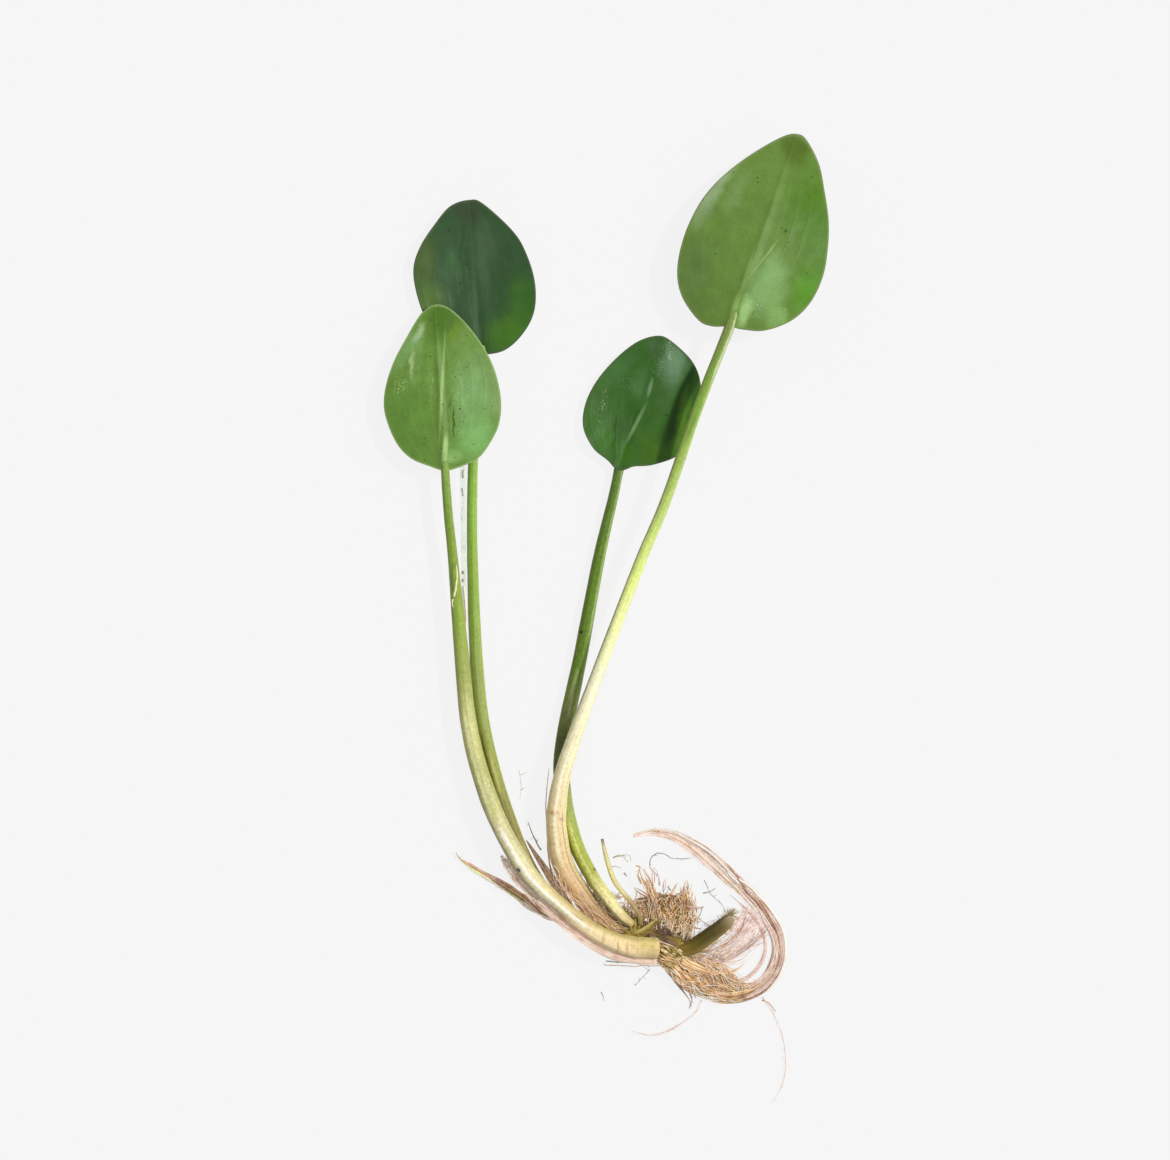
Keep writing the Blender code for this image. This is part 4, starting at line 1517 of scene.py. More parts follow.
@dataclass(frozen=True)
class Root:
    """A long root: strands that wind round each other, with fine hairs.

    tints are its strands' colours in turn, count how many strands it has, spread how far
    they lie from its middle as a share of its radius, and hairs how many hairs each
    millimetre has.
    """

    node: str
    route: tuple[Point, ...]
    tints: tuple[Tint, ...]
    slot: str = "root"
    count: int = 7
    spread: float = 0.75
    hairs: float = 0.3
    hair_length: float = 1.4
    thin: float = 0.42

    def make(self) -> bpy.types.Object:
        """Return the finished root."""
        rng = np.random.default_rng(len(self.node) * 1000 + int(abs(self.route[-1][0]) * 10))
        rows = curve_through(self.route, 1.1)
        aims = np.gradient(rows[:, :2], axis=0)
        aims /= np.linalg.norm(aims, axis=1)[:, None]
        sides = np.column_stack([-aims[:, 1], aims[:, 0]])
        strands = Strands("strands_" + self.node)
        for number in range(self.count):
            phase, twist, seed = rng.uniform(0, 2 * math.pi), rng.uniform(-0.16, 0.16), rng.uniform(0, 90)
            off = self.spread * math.sqrt((number + 0.5) / self.count)
            points, radii = [], []
            for i, (x, y, z, radius) in enumerate(rows):
                turn = phase + twist * i + 1.6 * noise(Vector((i * 0.08, seed, 0)))
                taper = min(1.0, (len(rows) - 1 - i) / 8 + 0.1)
                shift = off * radius * taper * (1 + 0.5 * noise(Vector((i * 0.15, seed, 5))))
                flat = sides[i] * math.cos(turn) * shift * 1.25
                points.append((x + flat[0], y + flat[1], z + math.sin(turn) * shift * 0.8))
                width = radius * self.thin * (1 + 0.3 * noise(Vector((i * 0.3, seed, 9))))
                radii.append(width * (0.35 + 0.65 * taper))
            strands.add(points, radii, self.tints[number % len(self.tints)])
        for _ in range(int(self.hairs * len(rows))):
            i = int(rng.integers(0, len(rows)))
            x, y, z, radius = rows[i]
            side = sides[i] * rng.choice((-1, 1)) + aims[i] * rng.normal(0, 0.6)
            reach = self.hair_length * rng.uniform(0.3, 1.0)
            points = []
            for step in np.linspace(0, 1, 4):
                out = radius * 0.6 + reach * step
                bend = aims[i] * rng.normal(0, 0.25) * step
                flat = side * out + bend
                points.append((x + flat[0], y + flat[1], z * (1 - 0.5 * step) + rng.uniform(0, 0.3)))
            tint = rng.choice((Tint.PINK, Tint.PINK, Tint.CREAM, Tint.GOLD))
            strands.add(points, (0.06, 0.05, 0.04, 0.03), Tint(int(tint)))
        return keep(strands.piece(), self.slot, self.node)


ROOTS = (
    Root(
        "withered_petiole",
        (
            (-13.0, -90.8, 4.6, 0.7), (-18.6, -88.9, 3.0, 1.0), (-27.0, -83.3, 1.2, 1.1), (-35.0, -78.3, 1.1, 0.9),
            (-43.0, -73.3, 0.9, 0.6), (-45.0, -70.8, 0.8, 0.4),
        ),
        (Tint.ORANGE, Tint.LEAFY, Tint.ROSE, Tint.STRAW, Tint.CREAM, Tint.BROWN, Tint.ROSE),
        slot="sheath",
        count=12,
        spread=0.9,
        hairs=0.8,
        hair_length=1.4,
        thin=0.36,
    ),
    Root(
        "root_1",
        (
            (19.6, -102.1, 3.3, 0.9), (22.0, -106.8, 1.6, 0.9), (26.5, -111.5, 0.9, 0.9),
            (32.5, -114.2, 0.9, 0.9), (39.0, -115.0, 0.9, 0.9), (45.5, -113.0, 0.9, 0.9),
            (50.5, -108.8, 0.9, 0.9), (53.0, -103.0, 0.9, 0.9), (53.0, -96.5, 0.9, 0.9),
            (50.0, -89.8, 0.9, 0.85), (45.5, -84.0, 0.9, 0.8), (39.5, -78.0, 0.9, 0.8),
            (33.0, -72.3, 0.9, 0.75), (27.0, -67.8, 0.9, 0.7), (20.5, -64.6, 0.8, 0.6),
            (14.0, -64.0, 0.7, 0.5), (9.5, -65.5, 0.6, 0.3),
        ),
        (Tint.PINK, Tint.ROSE, Tint.PINK, Tint.CREAM, Tint.BROWN),
        count=5,
        thin=0.44,
        spread=1.0,
    ),
    Root(
        "root_2",
        (
            (22.0, -102.9, 4.2, 0.75), (26.5, -107.6, 1.4, 0.75), (32.5, -111.5, 0.8, 0.75),
            (39.0, -112.6, 0.8, 0.75), (44.7, -110.7, 0.8, 0.75), (48.7, -106.8, 0.8, 0.7),
            (50.7, -101.5, 0.8, 0.7), (50.3, -96.0, 0.8, 0.7), (47.3, -90.3, 0.8, 0.7),
            (42.8, -84.8, 0.8, 0.65), (36.5, -78.6, 0.8, 0.6), (30.5, -73.6, 0.7, 0.5),
            (25.5, -70.5, 0.6, 0.35),
        ),
        (Tint.PINK, Tint.CREAM, Tint.ROSE, Tint.PINK),
        count=5,
        thin=0.44,
        spread=1.2,
    ),
    Root(
        "root_3",
        (
            (24.0, -102.5, 3.4, 0.7), (30.0, -107.0, 1.3, 0.7), (35.5, -109.8, 0.8, 0.7),
            (41.0, -109.4, 0.8, 0.65), (45.5, -106.0, 0.8, 0.6), (48.0, -101.0, 0.8, 0.6),
            (47.8, -95.8, 0.8, 0.6), (45.2, -91.0, 0.8, 0.55), (41.5, -86.8, 0.7, 0.45),
            (37.5, -83.5, 0.6, 0.3),
        ),
        (Tint.PINK, Tint.ROSE),
        count=4,
        thin=0.3,
    ),
    Root(
        "root_4",
        (
            (25.9, -101.9, 4.2, 0.65), (30.5, -103.2, 3.4, 0.65), (34.8, -103.2, 3.0, 0.6),
            (39.0, -101.5, 2.8, 0.6), (43.0, -98.7, 2.7, 0.6), (46.8, -95.5, 2.6, 0.5),
            (49.5, -92.5, 2.6, 0.35),
        ),
        (Tint.ROSE, Tint.PINK, Tint.BROWN),
        count=5,
        spread=1.1,
        thin=0.36,
    ),
    Root(
        "root_5",
        (
            (22.9, -102.9, 6.3, 0.65), (28.5, -105.6, 4.6, 0.65), (33.7, -107.0, 2.8, 0.6),
            (38.5, -106.6, 1.6, 0.5), (42.0, -104.2, 1.2, 0.35),
        ),
        (Tint.GOLD, Tint.ORANGE),
        count=6,
        spread=1.1,
    ),
    Root(
        "root_6",
        (
            (18.8, -102.2, 6.4, 0.7), (23.5, -107.8, 4.2, 0.7), (30.0, -112.0, 2.6, 0.7),
            (36.5, -113.8, 2.5, 0.65), (43.0, -112.8, 2.5, 0.55), (48.0, -109.6, 2.5, 0.35),
        ),
        (Tint.ORANGE, Tint.GOLD, Tint.BROWN),
        count=8,
        spread=1.1,
    ),
    Root(
        "root_7",
        (
            (18.1, -104.1, 1.4, 0.5), (20.5, -108.8, 0.8, 0.5), (23.5, -112.5, 0.6, 0.4),
            (25.5, -115.5, 0.5, 0.35), (25.2, -118.0, 0.4, 0.25),
        ),
        (Tint.BROWN, Tint.PINK),
        count=3,
        thin=0.5,
    ),
    Root(
        "root_8",
        (
            (26.6, -100.4, 2.7, 0.6), (32.0, -100.0, 1.6, 0.6), (36.5, -98.0, 1.2, 0.55),
            (40.5, -94.0, 1.0, 0.5), (42.5, -89.5, 0.8, 0.35),
        ),
        (Tint.PINK, Tint.ROSE, Tint.BROWN),
        count=5,
        spread=1.3,
        thin=0.3,
    ),
    Root(
        "root_stray_left",
        (
            (29.0, -115.2, 0.5, 0.3), (27.5, -118.5, 0.4, 0.3), (24.0, -121.5, 0.4, 0.28),
            (18.5, -124.6, 0.4, 0.28), (13.5, -125.8, 0.4, 0.25), (8.0, -124.6, 0.4, 0.2),
        ),
        (Tint.PINK,),
        count=2,
        hairs=0.5,
        hair_length=1.2,
    ),
    Root(
        "root_stray_right",
        (
            (47.2, -114.4, 0.5, 0.3), (50.0, -118.5, 0.4, 0.3), (53.0, -125.5, 0.4, 0.28),
            (54.2, -133.0, 0.4, 0.28), (53.5, -140.0, 0.4, 0.25), (50.8, -145.6, 0.4, 0.2),
        ),
        (Tint.PINK,),
        count=2,
        hairs=0.5,
        hair_length=1.2,
    ),
)


@dataclass(frozen=True)
class Swath:
    """A mat of fine fibres between two edges, each given as points of the picture.

    A fibre starts on the edges' first points and runs towards their last ones, weaving
    between them. heights are the lowest and highest at the start, and at the end.
    """

    outer: tuple[tuple[float, float], ...]
    inner: tuple[tuple[float, float], ...]
    heights: tuple[float, float, float, float]
    count: int
    radius: tuple[float, float]
    tints: tuple[Tint, ...]
    share: tuple[float, float] = (0.3, 1.0)
    weave: float = 0.25

    def fill(self, strands: Strands, rng: np.random.Generator) -> None:
        """Add the fibres to a piece."""
        outer = curve_through([(*point, 0.0) for point in self.outer], 3.0)
        inner = curve_through([(*point, 0.0) for point in self.inner], 3.0)
        steps = max(len(outer), len(inner))
        for _ in range(self.count):
            length = rng.uniform(*self.share)
            first = rng.uniform(0.0, 1.0 - length)
            side, seed = rng.uniform(0, 1), rng.uniform(0, 99)
            lift = rng.uniform(0, 1)
            radius = rng.uniform(*self.radius)
            count = max(4, int(steps * length))
            points = []
            for i, t in enumerate(np.linspace(first, first + length, count)):
                blend = side + self.weave * noise(Vector((t * 5.0, seed, 0.0)))
                blend = min(1.05, max(-0.05, blend))
                a = outer[min(len(outer) - 1, round(t * (len(outer) - 1)))]
                b = inner[min(len(inner) - 1, round(t * (len(inner) - 1)))]
                low = self.heights[0] * (1 - t) + self.heights[2] * t
                high = self.heights[1] * (1 - t) + self.heights[3] * t
                height = low + (high - low) * lift + 0.4 * noise(Vector((t * 8.0, seed, 7.0)))
                points.append(LENS.at(a[0] * (1 - blend) + b[0] * blend, a[1] * (1 - blend) + b[1] * blend, height))
            radii = np.linspace(radius, radius * 0.5, count)
            strands.add(points, radii, self.tints[int(rng.integers(0, len(self.tints)))])


@dataclass(frozen=True)
class Fan:
    """Tapered shreds that stand in a fan, from a foot line to a line of tips in the picture.

    heights are the lowest and highest at the foot, and at the tips. share is how far a shred
    reaches, scatter how far its tip may slide along the line, and bend its sideways bend in
    millimetres.
    """

    foot: tuple[tuple[float, float], ...]
    tips: tuple[tuple[float, float], ...]
    heights: tuple[float, float, float, float]
    count: int
    radius: tuple[float, float]
    tints: tuple[Tint, ...]
    share: tuple[float, float] = (0.5, 1.0)
    scatter: float = 0.08
    bend: float = 0.8

    def fill(self, strands: Strands, rng: np.random.Generator) -> None:
        """Add the shreds to a piece."""
        foot = curve_through([(*point, 0.0) for point in self.foot], 0.5)
        tips = curve_through([(*point, 0.0) for point in self.tips], 0.5)
        for _ in range(self.count):
            place = rng.uniform(0, 1)
            a = foot[round(place * (len(foot) - 1))]
            b = tips[round(min(1.0, max(0.0, place + rng.normal(0, self.scatter))) * (len(tips) - 1))]
            low, high = self.heights[:2], self.heights[2:]
            start = LENS.at(a[0] + rng.normal(0, 1.0), a[1] + rng.normal(0, 1.0), rng.uniform(*low))
            end = start.lerp(LENS.at(b[0], b[1], rng.uniform(*high)), rng.uniform(*self.share))
            side = Vector((start.y - end.y, end.x - start.x, 0.0)).normalized() * rng.normal(0, self.bend)
            radius = rng.uniform(*self.radius)
            seed = rng.uniform(0, 99)
            points, radii = [], []
            for t in np.linspace(0.0, 1.0, 8):
                kink = noise_vector(Vector((t * 2.0, seed, 0.0))) * 0.2 * t
                points.append(start.lerp(end, t) + side * 4 * t * (1 - t) + kink)
                radii.append(radius * (1.0 - 0.75 * t**1.5))
            strands.add(points, radii, self.tints[int(rng.integers(0, len(self.tints)))])


@dataclass(frozen=True)
class Litter:
    """Short shreds that lie every way, about a place of the picture.

    reach and turn are those of a Patch, lean is the shreds' mean direction in degrees from
    the picture's columns towards the right, and loose how far they turn from it.
    """

    column: float
    row: float
    reach: tuple[float, float]
    turn: float
    heights: tuple[float, float]
    count: int
    length: tuple[float, float]
    radius: tuple[float, float]
    tints: tuple[Tint, ...]
    lean: float = 0.0
    loose: float = 50.0

    def fill(self, strands: Strands, rng: np.random.Generator) -> None:
        """Add the shreds to a piece."""
        turn = math.radians(self.turn)
        for _ in range(self.count):
            angle, off = rng.uniform(0, 2 * math.pi), math.sqrt(rng.uniform(0, 1))
            ahead, side = self.reach[0] * off * math.cos(angle), self.reach[1] * off * math.sin(angle)
            column = self.column + ahead * math.sin(turn) + side * math.cos(turn)
            row = self.row - ahead * math.cos(turn) + side * math.sin(turn)
            low, high = self.heights
            middle = LENS.at(column, row, low + (high - low) * (1 - off**2) * rng.uniform(0.3, 1.0))
            aim = math.radians(rng.normal(self.lean, self.loose))
            half = rng.uniform(*self.length) / 2
            step = Vector((math.sin(aim) * half, math.cos(aim) * half, rng.normal(0, 0.25) * half))
            bow = Vector((step.y, -step.x, 0.0)) * rng.normal(0, 0.18)
            radius = rng.uniform(*self.radius)
            points = [middle + step * t + bow * (1 - t * t) for t in (-1.0, -0.5, 0.0, 0.5, 1.0)]
            radii = [radius * share for share in (0.5, 0.9, 1.0, 0.8, 0.3)]
            strands.add(points, radii, self.tints[int(rng.integers(0, len(self.tints)))])


@dataclass(frozen=True)
class Thread:
    """One loose thread through (column, row, height) points of the picture."""

    points: tuple[tuple[float, float, float], ...]
    width: tuple[float, float]
    tint: Tint
    wobble: float = 0.35

    def fill(self, strands: Strands, rng: np.random.Generator) -> None:
        """Add the thread to a piece, with a few short side hairs if it wobbles."""
        route = [LENS.at(*point) for point in self.points]
        strands.thread(route, self.width, self.tint, self.wobble, rng.uniform(0, 99))
        for start, end in zip(route, route[1:]):
            for _ in range(int((end - start).length / 1.6 * (self.wobble > 0.1))):
                root = start.lerp(end, rng.uniform(0, 1))
                side = Vector((rng.normal(0, 0.7), rng.normal(0, 0.7), rng.normal(0, 0.2)))
                strands.add((root, root + side * 0.5, root + side), (0.07, 0.06, 0.04), self.tint)


WARM = (Tint.GOLD, Tint.GOLD, Tint.ORANGE, Tint.ORANGE, Tint.BROWN, Tint.CREAM)
EARTH = (Tint.ORANGE, Tint.BROWN, Tint.LEAFY, Tint.ORANGE, Tint.OLIVE, Tint.GOLD)
FAIR = (Tint.CREAM, Tint.PINK, Tint.GOLD, Tint.PINK)
TUFT_TIPS = (
    (640, 866, 5.4), (646, 878, 4.0), (654, 867, 6.4), (665, 879, 5.0), (677, 883, 4.4),
    (688, 888, 5.2), (692, 902, 3.6), (704, 907, 4.4), (634, 888, 3.0), (696, 923, 4.6),
)
MAT = Sheet(
    base=(17.6, -101.6),
    bearing=114.0,
    outline=(
        (28.5, 0.3), (21.0, 5.2), (15.6, 5.6), (9.5, 5.6), (5.5, 4.4), (1.0, 1.5), (0.0, 0.0),
        (1.5, -1.5), (7.5, -3.6), (15.6, -4.0), (22.4, -2.3),
    ),
    heights=(3.2, 1.2, 0.6),
    edge_lift=-0.3,
    fold=0.0,
)
TUFT_EDGE = (
    (609, 904), (618, 896), (630, 894), (641, 882), (652, 885), (664, 892), (678, 890), (688, 894),
    (692, 908), (694, 924),
)
LOOP_OUTER = (
    (745, 999), (760, 995), (774, 984), (783, 968), (785, 950), (781, 932), (770, 910), (757, 897),
    (746, 889), (734, 880), (722, 865), (697, 846), (677, 834), (656, 829), (645, 830), (633, 834),
)
LOOP_INNER = (
    (745, 985), (756, 982), (767, 975), (774, 963), (775, 948), (770, 932), (762, 918), (750, 905),
    (738, 893), (726, 884), (712, 872), (692, 855), (674, 843), (657, 837), (646, 836), (634, 838),
)
TANGLES = (
    (
        "tuft_fibres",
        (
            Fan(
                ((628, 930), (650, 938), (688, 946)), TUFT_EDGE,
                (2.5, 5.0, 0.6, 3.5), 150, (0.12, 0.3), EARTH, (0.35, 1.0), 0.2, 1.0,
            ),
            Fan(
                ((626, 926), (648, 938), (686, 944)), TUFT_EDGE,
                (4.0, 7.0, 1.5, 5.5), 170, (0.06, 0.15), (*WARM, *FAIR), (0.4, 1.0), 0.25, 1.2,
            ),
            Fan(
                ((690, 898), (686, 918), (684, 934)), ((622, 902), (626, 918), (640, 934)),
                (1.5, 5.0, 1.5, 5.5), 50, (0.06, 0.18), EARTH, (0.3, 0.95), 0.3, 1.4,
            ),
            Fan(
                ((612, 902), (622, 916), (632, 930)), ((676, 896), (688, 908), (690, 930)),
                (1.5, 6.0, 1.5, 5.5), 50, (0.06, 0.16), (*FAIR, Tint.BROWN), (0.2, 0.8), 0.3, 1.4,
            ),
            Litter(668, 915, (32, 22), 100, (2.5, 6.6), 320, (1.2, 3.8), (0.08, 0.22), (*WARM, *WARM, *EARTH), 0.0, 40.0),
            Litter(622, 910, (20, 13), 130, (2.0, 5.4), 110, (1.2, 3.2), (0.08, 0.2), (*WARM, *EARTH), 20.0, 50.0),
            Litter(686, 910, (24, 8), 4, (2.0, 6.0), 90, (2.0, 6.0), (0.06, 0.18), (*WARM, Tint.ROSE, Tint.BROWN), 4.0, 14.0),
            Litter(650, 892, (13, 5), -24, (3.0, 6.8), 36, (2.5, 6.0), (0.08, 0.2), (Tint.ROSE, Tint.ORANGE, Tint.GOLD, Tint.ROSE), -22.0, 9.0),
            Litter(664, 934, (17, 6), 104, (5.0, 8.0), 90, (1.5, 4.0), (0.1, 0.28), (Tint.UMBER, Tint.BROWN, Tint.UMBER), 104.0, 25.0),
            Litter(634, 932, (12, 6), 90, (5.5, 7.6), 60, (1.2, 3.0), (0.1, 0.25), (Tint.OLIVE, Tint.LEAFY, Tint.OLIVE), 30.0, 60.0),
            *(
                Fan(
                    ((column * 0.55 + 295, row * 0.55 + 407), (column * 0.55 + 299, row * 0.55 + 410)),
                    ((column - 1, row), (column + 1, row)),
                    (3.0, 6.0, height - 0.3, height), 3, (0.1, 0.24), (Tint.ROSE, Tint.ORANGE, Tint.BROWN), (0.95, 1.0), 0.1, 0.4,
                )
                for column, row, height in TUFT_TIPS
            ),
        ),
        ("root_tuft",),
    ),
    (
        "root_mat",
        (
            Swath(
                ((655, 957), (664, 967), (675, 979), (689, 990), (703, 996), (720, 1002), (738, 1001), (752, 996)),
                ((676, 948), (692, 954), (706, 957), (718, 963), (728, 971), (736, 978), (745, 984), (756, 982)),
                (3.0, 6.0, 0.4, 1.6), 190, (0.08, 0.2), WARM, (0.3, 1.0), 0.4,
            ),
            Swath(
                ((657, 945), (668, 955), (682, 966), (696, 980), (708, 990)),
                ((670, 944), (690, 954), (704, 960), (718, 968), (728, 978)),
                (5.5, 8.6, 1.5, 3.0), 50, (0.12, 0.24), (Tint.GOLD, Tint.CREAM, Tint.GOLD, Tint.ORANGE), (0.35, 0.8), 0.5,
            ),
            Fan(
                ((664, 950), (680, 954), (702, 958)), ((686, 986), (712, 998), (742, 998), (750, 984)),
                (3.0, 6.5, 0.6, 2.6), 70, (0.06, 0.18), (*FAIR, Tint.ORANGE), (0.4, 1.0), 0.3, 2.0,
            ),
            Fan(
                ((700, 994), (722, 1000), (744, 996)), ((690, 958), (712, 960), (734, 970)),
                (0.8, 2.4, 2.0, 4.0), 60, (0.05, 0.14), (*FAIR, Tint.BROWN), (0.4, 1.0), 0.35, 2.0,
            ),
            Fan(
                ((700, 950), (716, 958), (726, 962)),
                ((733, 905), (752, 905), (766, 918), (772, 932), (768, 940), (752, 948), (738, 962)),
                (1.5, 3.0, 0.5, 2.0), 80, (0.05, 0.12), FAIR, (0.4, 1.0), 0.25, 1.8,
            ),
            Litter(752, 925, (22, 16), 10, (0.6, 1.6), 70, (2.5, 8.0), (0.04, 0.09), (Tint.ROSE, Tint.PINK, Tint.ROSE), 40.0, 55.0),
            Swath(
                LOOP_OUTER, LOOP_INNER,
                (0.4, 1.4, 0.3, 1.0), 60, (0.08, 0.16), (*FAIR, Tint.PINK, Tint.ROSE), (0.1, 0.4), 0.5,
            ),
        ),
        (),
    ),
    (
        "base_fibres",
        (
            Swath(
                ((500, 862), (520, 890), (545, 913), (575, 936), (605, 953), (640, 963), (657, 965)),
                ((508, 868), (527, 891), (551, 911), (580, 931), (608, 946), (640, 957), (657, 958)),
                (7.4, 9.2, 6.8, 8.4), 110, (0.07, 0.16), (Tint.FUZZ, Tint.FUZZ, Tint.CREAM, Tint.ROSE), (0.04, 0.16), 0.9,
            ),
            Swath(
                ((640, 940), (612, 926), (590, 903), (576, 872)),
                ((640, 930), (622, 913), (606, 894), (592, 870)),
                (5.0, 7.5, 1.0, 4.0), 80, (0.08, 0.2), (Tint.ORANGE, Tint.GOLD, Tint.BROWN, Tint.CREAM), (0.3, 0.9), 0.5,
            ),
            Swath(
                ((549, 866), (556, 888), (570, 909), (592, 929), (614, 941)),
                ((564, 862), (574, 884), (590, 904), (610, 922), (630, 934)),
                (6.0, 7.0, 5.8, 6.6), 60, (0.06, 0.12), (Tint.ORANGE, Tint.PINK, Tint.GOLD), (0.2, 0.7), 0.4,
            ),
            Thread(((633, 934, 6.8), (646, 927, 7.4), (657, 919, 7.0)), (0.6, 0.5), Tint.LEAFY, 0.05),
            Thread(((634, 936, 6.9), (647, 929, 7.2), (661, 920, 6.8)), (0.5, 0.4), Tint.OLIVE, 0.0),
            Thread(((633, 934, 6.8), (629, 922, 7.2), (626, 911, 6.6)), (0.8, 0.5), Tint.OLIVE, 0.0),
            Thread(((634, 935, 6.8), (635, 925, 7.4), (636, 917, 7.0)), (0.9, 0.6), Tint.OLIVE, 0.0),
            Thread(((635, 935, 6.8), (639, 926, 7.2), (643, 918, 6.8)), (0.7, 0.4), Tint.OLIVE, 0.0),
            Thread(((633, 936, 6.8), (626, 931, 6.8), (618, 923, 5.8)), (0.8, 0.4), Tint.OLIVE, 0.0),
            Thread(((624, 934, 6.6), (634, 937, 7.4), (648, 938, 7.4)), (0.9, 0.8), Tint.OLIVE, 0.0),
            Thread(((637, 914, 7.0), (641, 917, 7.0)), (0.9, 0.8), Tint.CREAM, 0.0),
            Thread(((616, 896, 5.6), (620, 898, 5.6)), (0.6, 0.5), Tint.CREAM, 0.0),
            Thread(((627, 907, 6.0), (629, 909, 6.0)), (0.6, 0.5), Tint.CREAM, 0.0),
            Thread(((645, 919, 6.4), (646, 921, 6.4)), (0.5, 0.4), Tint.CREAM, 0.0),
            Thread(((648, 936, 8.0), (664, 940, 8.2), (680, 947, 7.8)), (0.9, 0.6), Tint.UMBER, 0.1),
            Thread(((651, 938, 8.9), (664, 943, 8.8), (677, 948, 8.2)), (0.35, 0.3), Tint.ROSE, 0.0),
            Litter(666, 953, (14, 8), 0, (6.5, 9.8), 150, (2.0, 5.0), (0.12, 0.28), (Tint.GOLD, Tint.ORANGE, Tint.LEAFY, Tint.OLIVE), 126.0, 14.0),
            Fan(
                ((664, 944), (668, 952)), ((700, 966), (690, 974), (696, 960)),
                (6.5, 8.2, 3.5, 5.0), 50, (0.12, 0.3), (Tint.GOLD, Tint.LEAFY, Tint.OLIVE, Tint.OLIVE), (0.4, 1.0), 0.25, 1.2,
            ),
            Litter(672, 952, (16, 8), 70, (6.5, 9.0), 90, (1.5, 4.5), (0.12, 0.3), (Tint.LEAFY, Tint.OLIVE, Tint.GOLD, Tint.OLIVE), 110.0, 22.0),
        ),
        (),
    ),
    (
        "stub_down",
        (
            Fan(
                ((678, 951), (700, 943), (719, 929), (732, 914)), ((673, 942), (695, 932), (713, 919), (727, 907)),
                (6.0, 7.6, 6.0, 7.8), 260, (0.03, 0.05), (Tint.OLIVE, Tint.UMBER), (0.7, 1.05), 0.03, 0.3,
            ),
            Fan(
                ((678, 951), (700, 943), (719, 929), (732, 914)), ((690, 962), (708, 954), (728, 940), (741, 919)),
                (6.0, 7.6, 5.0, 7.0), 200, (0.03, 0.05), (Tint.OLIVE, Tint.LEAFY), (0.7, 1.0), 0.03, 0.3,
            ),
            Fan(
                ((730, 917), (733, 913)), ((730, 907), (736, 907), (740, 912)),
                (6.5, 8.0, 6.5, 8.2), 60, (0.03, 0.05), (Tint.LEAFY, Tint.OLIVE), (0.7, 1.0), 0.1, 0.3,
            ),
        ),
        (),
    ),
    (
        "threads",
        (
            Thread(((657, 853, 2.0), (664, 854, 2.2), (672, 858, 2.0), (682, 859, 1.6), (692, 858, 1.2)), (0.18, 0.1), Tint.GREY),
            Thread(((657, 853, 2.0), (651, 858, 2.0), (650, 867, 2.2), (657, 875, 2.4), (660, 886, 3.0)), (0.16, 0.1), Tint.GREY),
            Thread(((616, 857, 1.0), (624, 855, 1.2), (629, 856, 1.2), (630, 861, 1.0)), (0.12, 0.08), Tint.GREY),
            Thread(((612, 867, 1.0), (617, 866, 1.2), (621, 868, 1.0)), (0.1, 0.08), Tint.GREY),
            Thread(((636, 866, 2.5), (640, 867, 3.0), (638, 875, 3.4), (641, 884, 4.0)), (0.2, 0.3), Tint.ORANGE),
            Thread(((644, 869, 3.4), (651, 883, 4.0), (656, 894, 4.6)), (0.14, 0.3), Tint.ORANGE),
            Thread(((704, 880, 0.8), (708, 888, 0.9), (710, 893, 1.0), (721, 904, 0.8), (725, 912, 0.6)), (0.12, 0.1), Tint.GREY),
            Thread(((703, 893, 0.9), (710, 892, 1.0), (716, 888, 0.8)), (0.2, 0.12), Tint.GREY),
            Thread(((687, 911, 3.0), (698, 918, 2.6), (710, 926, 2.2)), (0.18, 0.1), Tint.GREY),
            Thread(((703, 906, 1.6), (698, 918, 2.6), (690, 925, 3.2), (685, 935, 4.0)), (0.14, 0.16), Tint.GREY),
            Thread(((624, 873, 1.0), (627, 876, 1.2)), (0.3, 0.2), Tint.GREY),
            Thread(((668, 886, 3.4), (671, 890, 3.6)), (0.3, 0.2), Tint.GREY),
            Thread(((613, 858, 6.4), (620, 855, 6.2), (628, 862, 5.8)), (0.16, 0.08), Tint.LEAFY),
            Thread(((689, 990, 0.6), (692, 1001, 0.5), (689, 1009, 0.4)), (0.3, 0.14), Tint.GREY),
            Thread(((684, 986, 0.6), (690, 990, 0.6), (696, 998, 0.5)), (0.2, 0.1), Tint.BROWN),
            Thread(((762, 1000, 0.4), (770, 1004, 0.4), (775, 1011, 0.4)), (0.22, 0.1), Tint.BROWN),
            Thread(((606, 961, 0.6), (630, 963, 0.6), (658, 963, 1.2)), (0.2, 0.16), Tint.GREY),
            Thread(((604, 965, 0.5), (630, 966, 0.5), (660, 966, 1.0)), (0.16, 0.14), Tint.PINK),
            Thread(((650, 969, 0.4), (643, 977, 0.4), (635, 985, 0.4)), (0.12, 0.08), Tint.GREY),
            Thread(((601, 992, 0.4), (603, 996, 0.4), (603, 1001, 0.4)), (0.14, 0.08), Tint.GREY),
            Thread(((463, 470, 4.0), (463, 478, 4.0)), (0.25, 0.2), Tint.GREY, 0.0),
            Thread(((462, 488, 4.0), (463, 496, 4.0)), (0.25, 0.2), Tint.GREY, 0.0),
            Thread(((463, 571, 5.0), (463, 574, 5.0)), (0.4, 0.35), Tint.GREY, 0.0),
            Thread(((463, 579, 5.0), (463, 582, 5.0)), (0.4, 0.35), Tint.GREY, 0.0),
            Thread(((464, 586, 5.0), (466, 610, 5.0), (466, 635, 5.0), (468, 662, 4.8)), (0.4, 0.35), Tint.CREAM, 0.08),
            Thread(((456, 565, 8.0), (457, 575, 8.5), (456, 586, 8.5), (454, 597, 8.2)), (0.25, 0.4), Tint.STRAW, 0.0),
            Thread(((453, 599, 8.2), (452, 603, 8.0), (453, 607, 8.0)), (0.25, 0.12), Tint.CREAM, 0.2),
